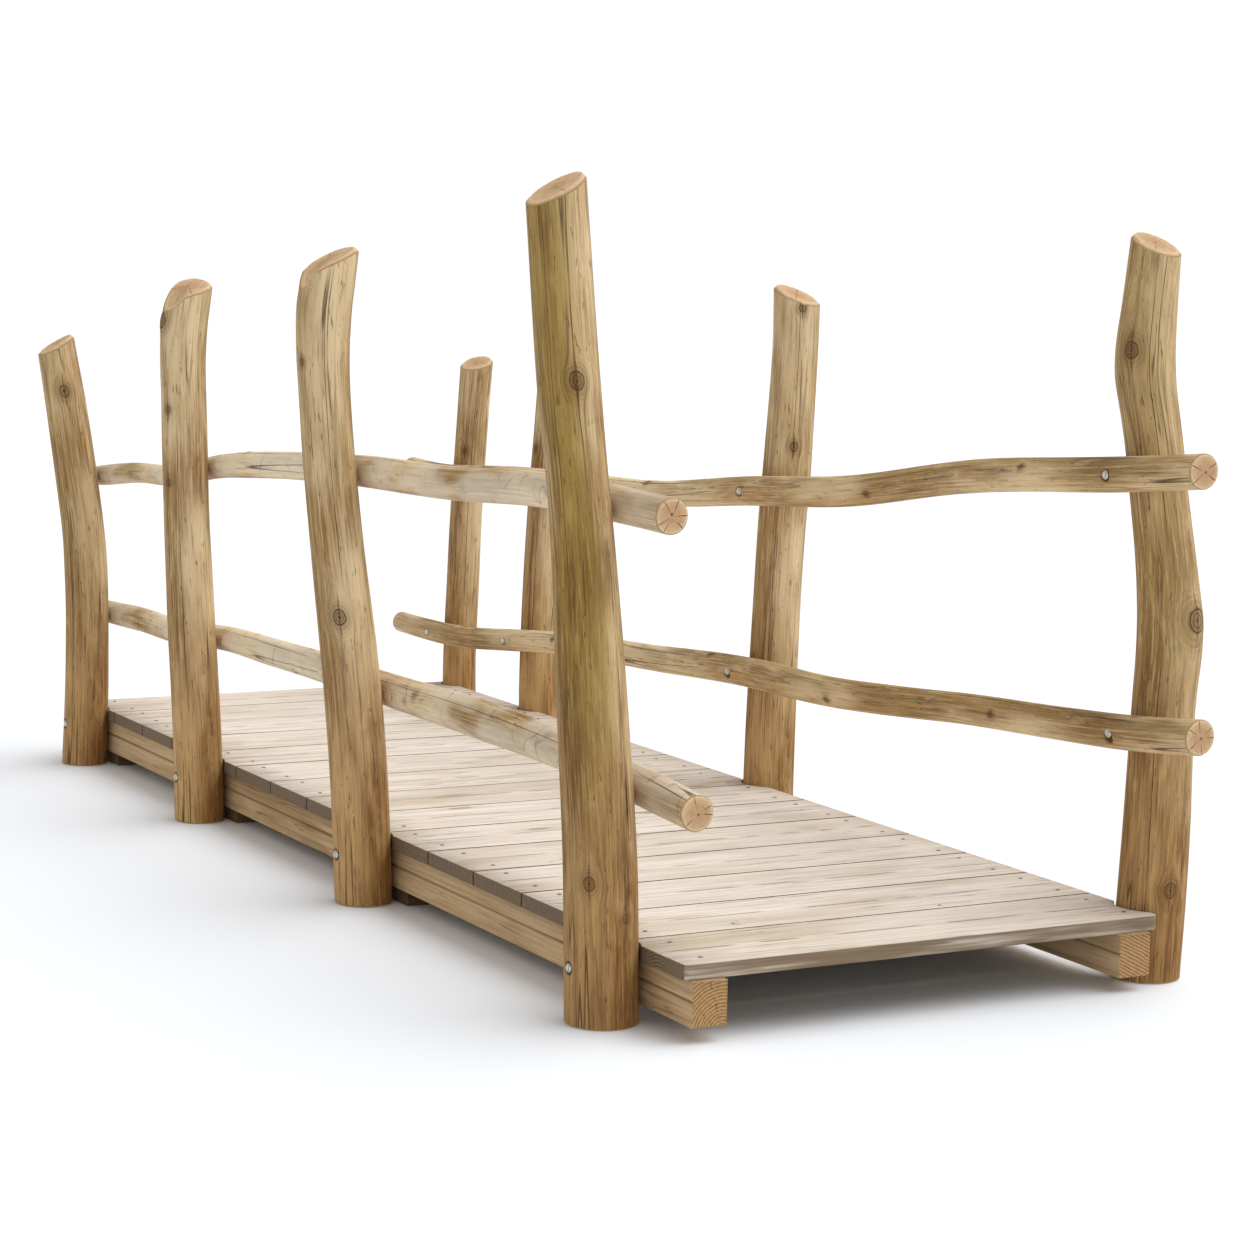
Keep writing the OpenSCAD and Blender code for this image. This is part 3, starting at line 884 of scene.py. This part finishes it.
POST_CHECKS = {
    "post_left_1": [check(-58, 0.9, 1.72), check(24, 0.3, 1.0), check(170, 0.5, 1.5)],
    "post_left_2": [check(-20, 0.75, 1.5), check(110, 0.3, 1.3)],
    "post_left_3": [check(-40, 0.3, 1.1), check(150, 0.5, 1.4)],
    "post_left_4": [check(-60, 0.2, 0.9), check(120, 0.4, 1.2)],
    "post_right_1": [check(-30, 0.95, 1.6), check(-50, 0.2, 0.75), check(150, 0.4, 1.3)],
    "post_right_2": [check(-22, 1.0, 1.5), check(-45, 0.25, 0.9), check(120, 0.4, 1.2)],
    "post_right_3": [check(-50, 0.3, 1.0), check(90, 0.4, 1.1)],
    "post_right_4": [check(-20, 0.4, 1.1), check(130, 0.3, 0.9)],
}

RAIL_KNOTS = {
    "handrail_left": [knot(75, 1.45, 7, 2), knot(-160, 0.9, 8, 2), knot(160, 0.1, 7, 2),
                      knot(110, -0.5, 8, 2)],
    "midrail_left": [knot(120, 1.2, 8, 2), knot(140, 0.55, 8, 2.5), knot(170, 0.5, 6, 1.5),
                     knot(-150, -0.2, 8, 2), knot(95, -1.0, 8, 2)],
    "handrail_right": [knot(150, 1.4, 7, 2), knot(-160, 0.75, 7, 2), knot(120, -0.4, 8, 2)],
    "midrail_right": [knot(160, 1.3, 7, 2), knot(-170, 0.6, 8, 2), knot(110, 0.0, 7, 2),
                      knot(150, -0.9, 7, 2)],
}

WEATHERING = {
    "post_left_1": weather(0.5, 1.0, (0.62, -0.78, 0.0)),
    "post_left_2": weather(0.9, 0.25, (-0.4, -0.91, 0.0)),
    "post_left_3": weather(1.0),
    "post_left_4": weather(0.6, 0.25, (0.6, -0.8, 0.0)),
    "post_right_1": weather(0.45, 0.45, (0.6, -0.8, 0.0)),
    "post_right_2": weather(0.85),
    "post_right_3": weather(1.0),
    "post_right_4": weather(0.85),
    "handrail_left": weather(1.0, scrapes=0.3),
    "midrail_left": weather(1.0, scrapes=0.4),
    "handrail_right": weather(0.9, 0.2, (0.0, 1.0, 0.0)),
    "midrail_right": weather(0.9, 0.45, (0.0, 1.0, 0.0)),
}


def outward(name):
    """Angle of the side that faces away from the deck."""
    return -math.pi / 2 if "_left" in name else math.pi / 2


def rail_bolts(rail):
    """Where a rail's bolts pass: its crossing with each post of its side."""
    side = "left" if "_left" in rail.name else "right"
    places = []
    for name in POSTS:
        if side not in name:
            continue
        post = LOGS[name]
        x = float(post.middle(0.5)[0])
        for _ in range(3):
            z = float(rail.middle(x)[1])
            x = float(post.middle(z)[0])
        places.append(x)
    return places


def log_marks(log, random):
    """Knots, checks, end splits and counterbores of one log."""
    if log.kind == POST:
        pits = [{"angle": outward(log.name), "at": sizes_of("fixings").foot_bolt_height}]
        knots, checks = POST_KNOTS[log.name], POST_CHECKS[log.name]
    else:
        facing = 0.0 if "_left" in log.name else math.pi
        pits = [{"angle": facing, "at": place} for place in rail_bolts(log)]
        knots = RAIL_KNOTS[log.name]
        checks = [
            check(random.uniform(95, 130), 0.2, 1.5),
            check(random.uniform(-120, -70), -1.3, 0.3),
        ]
    starts = random.uniform(0.08, 0.5, 6)
    splits = [
        split(60 * k + random.uniform(4, 50), starts[k], random.uniform(2.2, 3.6)) for k in range(6)
    ]
    splits = [
        one for one in splits
        if all(abs(turn_from(one["angle"], other["angle"])) > 0.12 for other in pits + checks)
    ]
    twist = random.uniform(-0.12, 0.12)
    return {
        "knots": knots,
        "checks": checks,
        "pits": pits,
        "splits": splits,
        "twist": 0.0 if log.kind == POST else twist,
    }


def make_log(name, order):
    sizes = sizes_of("logs")
    random = np.random.default_rng(100 + order)
    log = LOGS[name]
    marks = log_marks(log, random)
    piece = log_piece(name + "_log", log, marks, sizes, random)
    pith = tuple(random.uniform(-0.004, 0.004, 2)) + (0.0,)
    wood = log_finish(name + "_wood", sizes, log, marks, WEATHERING[name])
    for material in (wood, end_finish(name + "_end", sizes, pith)):
        piece.data.materials.append(material)
    place_piece(piece, "post_log" if log.kind == POST else "rail_log", name)


def place_piece(piece, slot, *nodes):
    """Gives a finished piece to the frame."""
    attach(piece, BODY)
    if nodes:
        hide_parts(*nodes)


# --- sawn timber --------------------------------------------------------------------------------


def timber_mesh(name, arris):
    """A copy of a sawn CAD piece with its arrises rounded."""
    shape = bmesh.new()
    shape.from_mesh(NODES[name].data)
    bmesh.ops.remove_doubles(shape, verts=shape.verts, dist=0.01 * MM)
    bmesh.ops.dissolve_limit(
        shape, angle_limit=math.radians(1), verts=shape.verts, edges=shape.edges
    )
    if name == BOARDS[0]:
        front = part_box(name)[1].x
        corners = [
            e for e in shape.edges
            if all(v.co.x > front - 0.1 * MM for v in e.verts)
            and abs(e.verts[0].co.z - e.verts[1].co.z) > 10 * MM
        ]
        round_off(shape, corners, sizes_of("timber").corner, 5, False)
    sharp = [
        e for e in shape.edges
        if len(e.link_faces) == 2 and e.calc_face_angle() > math.radians(40)
    ]
    round_off(shape, sharp, arris, 2, True)
    return shape


def round_off(shape, edges, radius, segments, clamp):
    bmesh.ops.bevel(
        shape, geom=edges, offset=radius, segments=segments, profile=0.5, affect="EDGES",
        clamp_overlap=clamp,
    )


def slice_across(shape, axis, places):
    """Adds a line of edges round the piece at each place along an axis."""
    normal = [float(k == axis) for k in range(3)]
    for place in places:
        bmesh.ops.bisect_plane(
            shape, geom=shape.verts[:] + shape.edges[:] + shape.faces[:], dist=0.001 * MM,
            plane_co=[place * n for n in normal], plane_no=normal,
        )


def timber_piece(name, shape, along, slot, finishes, values, seed_place):
    """Finishes a sawn piece: its grain runs along one axis and its ends get end grain."""
    low, high = (np.array(corner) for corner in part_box(name))
    shape.normal_update()
    for face in shape.faces:
        face.material_index = int(abs(face.normal[along]) > 0.75)
    mesh = bpy.data.meshes.new(name)
    shape.to_mesh(mesh)
    shape.free()
    points = np.array([v.co for v in mesh.vertices])
    centred = points - (low + high) / 2
    grain = np.stack([centred[:, a] for a in (0, 1, 2) if a != along] + [points[:, along]], -1)
    set_attribute(mesh, "grain_place", "FLOAT_VECTOR", grain + np.array(seed_place))
    for attribute, value in values(points).items():
        set_attribute(mesh, attribute, "FLOAT", np.broadcast_to(value, len(points)))
    piece = linked(name + "_timber", mesh)
    for material in finishes:
        piece.data.materials.append(material)
    place_piece(piece, slot, name)


def plank(name, order, finishes):
    """A plank with rounded arrises and a broken check along the middle of its top."""
    sizes = sizes_of("timber")
    random = np.random.default_rng(300 + order)
    low, high = (np.array(corner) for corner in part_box(name))
    shape = timber_mesh(name, sizes.arris)
    middle = (low[0] + high[0]) / 2 + random.uniform(-6, 6) * MM
    half = sizes.groove / 2
    slice_across(shape, 0, [middle - half, middle, middle + half])
    dashes = []
    place = low[1] + 0.02
    while place < high[1] - 0.05:
        end = min(place + random.uniform(0.06, 0.26), high[1] - 0.02)
        dashes.append((place, end))
        place = end + random.uniform(0.02, 0.1)
    cuts = {round(p, 5) for a, b in dashes for p in (a, a + DASH_FADE, b - DASH_FADE, b)}
    slice_across(shape, 1, sorted(cuts))
    drop = random.uniform(0, 1) * sizes.warp
    tilt = random.uniform(-0.5, 0.5) * sizes.warp

    def depth(y):
        return max(
            float(step_between(y, a, a + DASH_FADE) * step_between(y, b, b - DASH_FADE))
            for a, b in dashes
        )

    for vertex in shape.verts:
        x, y, z = vertex.co
        if z > high[2] - 0.5 * MM:
            if abs(x - middle) < ON_LINE:
                vertex.co.z -= sizes.groove_depth * depth(y)
            across = (x - middle) / (high[0] - low[0])
            vertex.co.z -= drop * 0.5 + tilt * across + 0.5 * sizes.warp * across * across
    shade = random.uniform(0, 0.45)

    def values(points):
        x, y, z = points.T
        from_end = np.minimum(y - low[1], high[1] - y)
        near_end = np.clip(1 - from_end / 0.10, 0, 1) * 0.45
        # Painted shade down the sides of the planks, in the gaps between them
        near_gap = (x > high[0] - 1 * MM) & (name != BOARDS[0])
        far_gap = (x < low[0] + 1 * MM) & (name != BOARDS[-1])
        gap_shade = (near_gap | far_gap) & (z < high[2] - sizes.arris * 0.1)
        # Painted shade in the check along the middle, darker where the check sinks deeper
        on_check = (np.abs(x - middle) < ON_LINE) & (z > high[2] - 8 * MM)
        return {
            "shade": shade,
            # Wear near the plank's ends, and painted shade on every face below the top arris: front
            # face, ends, gap sides and underside
            "wear_and_shade": np.maximum(near_end, z < high[2] - sizes.arris * 0.8),
            "groove": np.maximum(np.array([depth(p) for p in y]) * on_check, gap_shade),
        }

    seed_place = (order * 0.731, order * 0.317, order * 1.93)
    timber_piece(name, shape, 1, "deck_timber", finishes, values, seed_place)


def squared(name, along, order, slot, finishes):
    """A squared beam or bearer; a beam has a check along the middle of each upright face."""
    sizes = sizes_of("timber")
    low, high = (np.array(corner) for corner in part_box(name))
    shape = timber_mesh(name, sizes.beam_arris)
    middle = (low[2] + high[2]) / 2 + 6 * MM
    slice_across(shape, along, list(np.linspace(low[along], high[along], 32)[1:-1]))
    if name in BEAMS:
        half = sizes.groove / 2
        slice_across(shape, 2, [middle - half, middle, middle + half])
        phase = np.random.default_rng(400 + order).uniform(0, 6)
        for vertex in shape.verts:
            x, y, z = vertex.co
            if abs(z - middle) < ON_LINE and low[0] + 5 * MM < x < high[0] - 5 * MM:
                deep = 0.5 + 0.9 * math.sin(x * 4.1 + phase) + 0.4 * math.sin(x * 11)
                inwards = 1 if y < (low[1] + high[1]) / 2 else -1
                vertex.co.y += inwards * sizes.groove_depth * float(np.clip(deep, 0, 1))

    def values(points):
        z = points[:, 2]
        # Painted shade inside the check along a beam's upright faces
        on_check = (np.abs(z - middle) < ON_LINE) & (name in BEAMS)
        return {
            "shade": 0.1,
            # Darker towards the top of the beam or bearer
            "wear_and_shade": np.clip(1 - (high[2] - z) / 0.02, 0, 1) * 0.5,
            "groove": on_check * 0.75,
        }

    seed_place = (order * 0.531, order * 0.917, order * 2.3)
    timber_piece(name, shape, along, slot, finishes, values, seed_place)


# --- fixings by geometry nodes ------------------------------------------------------------------


class Tree:
    """A geometry node tree under construction."""

    def __init__(self, name):
        self.group = bpy.data.node_groups.new(name, "GeometryNodeTree")
        self.identifiers = {}
        for way in ("INPUT", "OUTPUT"):
            self.socket("Geometry", "NodeSocketGeometry", way)

    def socket(self, name, kind="NodeSocketFloat", way="INPUT"):
        made = self.group.interface.new_socket(name, in_out=way, socket_type=kind)
        if way == "INPUT":
            self.identifiers[name] = made.identifier

    def node(self, kind, settings=(), inputs=(), output=0):
        """Adds one node: its settings first, then the values or links of its sockets."""
        made = self.group.nodes.new(kind)
        for key, value in dict(settings).items():
            setattr(made, key, value)
        for key, value in dict(inputs).items():
            socket = made.inputs[key]
            several = value if isinstance(value, list) else [value]
            if isinstance(several[0], bpy.types.NodeSocket):
                for one in several:
                    self.group.links.new(one, socket)
            else:
                socket.default_value = value
        return made.outputs[output] if made.outputs else None

    def times(self, first, second):
        return self.node("ShaderNodeMath", {"operation": "MULTIPLY"}, {0: first, 1: second})


def dome_shape(tree, radius):
    """A flattened ball on a short shank."""
    ball = tree.node("GeometryNodeMeshUVSphere", {}, {"Segments": 28, "Rings": 14, "Radius": radius})
    head = tree.node("GeometryNodeTransform", {}, {"Geometry": ball, "Scale": (1.0, 1.0, 0.5)})
    shank = tree.node("GeometryNodeMeshCylinder", {}, {
        "Vertices": 20, "Radius": tree.times(radius, 0.6), "Depth": radius,
    })
    return tree.node("GeometryNodeJoinGeometry", {}, {"Geometry": [head, shank]})


def screw_shape(tree, radius):
    """A countersunk head with a sunk middle."""
    head = tree.node("GeometryNodeMeshCone", {}, {
        "Vertices": 20, "Radius Top": radius, "Radius Bottom": tree.times(radius, 0.55),
        "Depth": tree.times(radius, 0.5),
    })
    inset = tree.node("GeometryNodeExtrudeMesh", {"mode": "FACES"}, {
        "Mesh": head, "Selection": head.node.outputs["Top"], "Offset Scale": 0.0,
    })
    centre = inset.node.outputs["Top"]
    drawn = tree.node("GeometryNodeScaleElements", {"domain": "FACE"}, {
        "Geometry": inset, "Selection": centre, "Scale": 0.45,
    })
    return tree.node("GeometryNodeExtrudeMesh", {"mode": "FACES"}, {
        "Mesh": drawn, "Selection": centre, "Offset Scale": tree.times(radius, -0.35),
    })


def fixing_tree(name, shape):
    """Heads set on points, each turned to the point's own aim."""
    tree = Tree(name)
    tree.socket("Head Diameter")
    tree.socket("Material", "NodeSocketMaterial")
    given = tree.group.nodes.new("NodeGroupInput").outputs
    head = shape(tree, tree.times(given["Head Diameter"], 0.5))
    aim = tree.node("GeometryNodeInputNamedAttribute", {"data_type": "FLOAT_VECTOR"}, {"Name": "aim"})
    turn = tree.node("FunctionNodeAlignRotationToVector", {"axis": "Z"}, {"Vector": aim})
    placed = tree.node("GeometryNodeInstanceOnPoints", {},
                       {"Points": given["Geometry"], "Instance": head, "Rotation": turn})
    real = tree.node("GeometryNodeRealizeInstances", {}, {"Geometry": placed})
    real = tree.node("GeometryNodeSetMaterial", {}, {"Geometry": real, "Material": given["Material"]})
    tree.node("NodeGroupOutput", {}, {"Geometry": real})
    return tree


def fixings(name, shape, places, aims, head, material):
    """One mesh of all the heads of a kind."""
    mesh = bpy.data.meshes.new(name + "_points")
    mesh.from_pydata([tuple(p) for p in places], [], [])
    set_attribute(mesh, "aim", "FLOAT_VECTOR", np.array(aims))
    source = linked(name + "_points", mesh)
    modifier = source.modifiers.new("Heads", "NODES")
    tree = fixing_tree(name, shape)
    modifier.node_group = tree.group
    modifier[tree.identifiers["Head Diameter"]] = head
    modifier[tree.identifiers["Material"]] = material
    bpy.context.view_layer.update()
    graph = bpy.context.evaluated_depsgraph_get()
    result = bpy.data.meshes.new_from_object(source.evaluated_get(graph), depsgraph=graph)
    bpy.data.objects.remove(source)
    if not result.polygons:
        raise RuntimeError(name + ": the node tree made no faces")
    result.name = name
    if not result.materials:
        result.materials.append(material)
    result.shade_smooth()
    result.set_sharp_from_angle(angle=math.radians(35))
    place_piece(linked(name, result), "fixing_steel")


def screw_places():
    """Two screws where each plank crosses each beam, clear of the posts' notches."""
    inset = sizes_of("fixings").screw_inset
    random = np.random.default_rng(500)
    places = []
    for name in BOARDS:
        low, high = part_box(name)
        for beam in BEAMS:
            beam_low, beam_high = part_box(beam)
            for side in (-1, 1):
                x = (low.x + high.x) / 2 + side * inset + random.uniform(-9, 9) * MM
                y = (beam_low.y + beam_high.y) / 2 + random.uniform(4, 22) * MM
                places.append((x, y, high.z - 1.6 * MM))

    def clear(x, y, z, post):
        u, v, r = post.middle(z)
        return math.hypot(x - float(u), y - float(v)) > post.thickest + 12 * MM

    return [p for p in places if all(clear(*p, LOGS[name]) for name in POSTS)]


def bolt_places():
    """A dome bolt at each post's foot and at each crossing of a rail and a post."""
    sizes = sizes_of("fixings")
    places, aims = [], []
    sunk = sizes.pit_depth - 2 * MM
    for name in POSTS:
        u, v, r = (float(x) for x in LOGS[name].middle(sizes.foot_bolt_height))
        way = -1 if "_left" in name else 1
        places.append((u, v + way * (r - sunk), sizes.foot_bolt_height))
        aims.append((0, way, 0))
    for name in RAILS:
        way = 1 if "_left" in name else -1
        for x in rail_bolts(LOGS[name]):
            y, z, r = (float(a) for a in LOGS[name].middle(x))
            places.append((x, y + way * (r - sunk), z))
            aims.append((0, way, 0))
    return places, aims


# --- operators ----------------------------------------------------------------------------------


class FOOTBRIDGE_OT_posts(bpy.types.Operator):
    """Build the eight natural posts"""

    bl_idname = "footbridge.posts"
    bl_label = "Posts"

    def execute(self, context):
        for order, name in enumerate(POSTS):
            make_log(name, order)
        return {"FINISHED"}


class FOOTBRIDGE_OT_rails(bpy.types.Operator):
    """Build the two handrails and the two midrails"""

    bl_idname = "footbridge.rails"
    bl_label = "Rails"

    def execute(self, context):
        for order, name in enumerate(RAILS):
            make_log(name, len(POSTS) + order)
        return {"FINISHED"}


class FOOTBRIDGE_OT_deck(bpy.types.Operator):
    """Build the deck planks"""

    bl_idname = "footbridge.deck"
    bl_label = "Deck"

    def execute(self, context):
        tones = sizes_of("timber")
        finishes = timber_finishes(
            "deck", (tones.pale, tones.warm, tones.grey), (tones.plank_end, tones.plank_ring),
            tones.bearer_brown, knots=0.45, pith=(0.02, -0.09, 0.0),
        )
        for order, name in enumerate(BOARDS):
            plank(name, order, finishes)
        return {"FINISHED"}


class FOOTBRIDGE_OT_beams(bpy.types.Operator):
    """Build the two beams"""

    bl_idname = "footbridge.beams"
    bl_label = "Beams"

    def execute(self, context):
        tones = sizes_of("timber")
        finishes = timber_finishes(
            "beam", (tones.beam, tones.beam_brown, tones.bearer), (tones.beam_end, tones.beam_ring),
            tones.bearer_brown, knots=0.9, pith=(0.03, -0.06, 0.0),
        )
        for order, name in enumerate(BEAMS):
            squared(name, 0, order, "beam_timber", finishes)
        return {"FINISHED"}


class FOOTBRIDGE_OT_bearers(bpy.types.Operator):
    """Build the bearers that lie on the ground"""

    bl_idname = "footbridge.bearers"
    bl_label = "Bearers"

    def execute(self, context):
        tones = sizes_of("timber")
        # The bearers' dark tones carry painted shade from the beams above them
        finishes = timber_finishes(
            "bearer", (tones.bearer, tones.bearer_brown, NEARLY_BLACK),
            (tones.bearer, tones.bearer_brown), NEARLY_BLACK, knots=0.9, pith=(0.0, 0.05, 0.0),
            relief=1.4 * MM,
        )
        for order, name in enumerate(BEARERS):
            squared(name, 1, 10 + order, "bearer_timber", finishes)
        return {"FINISHED"}


class FOOTBRIDGE_OT_fixings(bpy.types.Operator):
    """Set the deck screws and the dome bolts"""

    bl_idname = "footbridge.fixings"
    bl_label = "Screws and Bolts"

    def execute(self, context):
        sizes = sizes_of("fixings")
        steel = steel_finish("galvanised_steel", sizes)
        screws = screw_places()
        upwards = [(0, 0, 1)] * len(screws)
        fixings("deck_screws", screw_shape, screws, upwards, sizes.screw_head, steel)
        fixings("dome_bolts", dome_shape, *bolt_places(), sizes.bolt_head, steel)
        return {"FINISHED"}


class FOOTBRIDGE_OT_studio(bpy.types.Operator):
    """Set the pale floor, the soft lights and the camera"""

    bl_idname = "footbridge.studio"
    bl_label = "Studio"

    def execute(self, context):
        studio = sizes_of("studio")
        scene = context.scene
        far = FLOOR_REACH
        corners = [(-far, -far, 0), (far, -far, 0), (far, far, 0), (-far, far, 0)]
        mesh = bpy.data.meshes.new("floor")
        mesh.from_pydata(corners, [], [(0, 1, 2, 3)])
        mesh.materials.append(floor_finish("floor", studio.floor))
        linked("floor", mesh)

        world = bpy.data.worlds.new("surround")
        world.use_nodes = True
        surround = Finish.of(world)
        upward = surround.split(surround.node("ShaderNodeTexCoord"), 2)
        brightness = studio.sky + (studio.horizon - studio.sky) * upward.between(0.34, 0.13)
        white = {"Color": (1, 1, 1, 1), "Strength": brightness}
        backdrop = surround.node("ShaderNodeBackground", {}, white)
        surround.node("ShaderNodeOutputWorld", {}, {"Surface": backdrop})
        scene.world = world
        sun = bpy.data.lights.new("key", "SUN")
        sun.energy = studio.key
        sun.angle = studio.key_softness
        lamp = linked("key", sun)
        lamp.rotation_euler = Vector(studio.key_from).to_track_quat("Z", "Y").to_euler()

        camera = linked("camera", bpy.data.cameras.new("camera"))
        camera.data.lens = studio.lens
        camera.data.sensor_width = 36.0
        camera.data.clip_end = 300.0
        azimuth, elevation, roll = studio.camera_azimuth, studio.camera_elevation, studio.camera_roll
        level = math.cos(elevation)
        back = Vector((math.sin(azimuth) * level, -math.cos(azimuth) * level, math.sin(elevation)))
        right = Vector((math.cos(azimuth), math.sin(azimuth), 0.0))
        up = back.cross(right)
        turned_right = right * math.cos(roll) + up * math.sin(roll)
        turned_up = up * math.cos(roll) - right * math.sin(roll)
        turn = Matrix((turned_right, turned_up, back)).transposed()
        camera.matrix_world = Matrix.Translation(studio.camera_place) @ turn.to_4x4()
        scene.camera = camera
        scene.view_settings.view_transform = "Standard"
        return {"FINISHED"}


OPERATORS = [
    FOOTBRIDGE_OT_posts,
    FOOTBRIDGE_OT_rails,
    FOOTBRIDGE_OT_deck,
    FOOTBRIDGE_OT_beams,
    FOOTBRIDGE_OT_bearers,
    FOOTBRIDGE_OT_fixings,
    FOOTBRIDGE_OT_studio,
]
GROUPS = {
    "logs": FootbridgeLogs,
    "timber": FootbridgeTimber,
    "fixings": FootbridgeFixings,
    "studio": FootbridgeStudio,
}


class FOOTBRIDGE_PT_sidebar(bpy.types.Panel):
    """Sizes, colours and building steps of the footbridge"""

    bl_idname = "FOOTBRIDGE_PT_sidebar"
    bl_label = "Footbridge"
    bl_space_type = "VIEW_3D"
    bl_region_type = "UI"
    bl_category = "Footbridge"

    def draw(self, context):
        for group, kind in GROUPS.items():
            box = self.layout.box()
            box.label(text=kind.__doc__)
            for name in kind.__annotations__:
                box.prop(getattr(context.scene, "footbridge_" + group), name)
        for operator in OPERATORS:
            self.layout.operator(operator.bl_idname)


def register():
    for kind in (*GROUPS.values(), *OPERATORS, FOOTBRIDGE_PT_sidebar):
        bpy.utils.register_class(kind)
    for group, kind in GROUPS.items():
        setattr(bpy.types.Scene, "footbridge_" + group, PointerProperty(type=kind))


def unregister():
    for group in GROUPS:
        delattr(bpy.types.Scene, "footbridge_" + group)
    for kind in (FOOTBRIDGE_PT_sidebar, *OPERATORS, *GROUPS.values()):
        bpy.utils.unregister_class(kind)


def main():
    register()
    for name in POSTS + RAILS:
        LOGS[name] = Log(name)
    for operator in OPERATORS:
        group, step = operator.bl_idname.split(".")
        getattr(getattr(bpy.ops, group), step)()


if __name__ == "__main__":
    main()
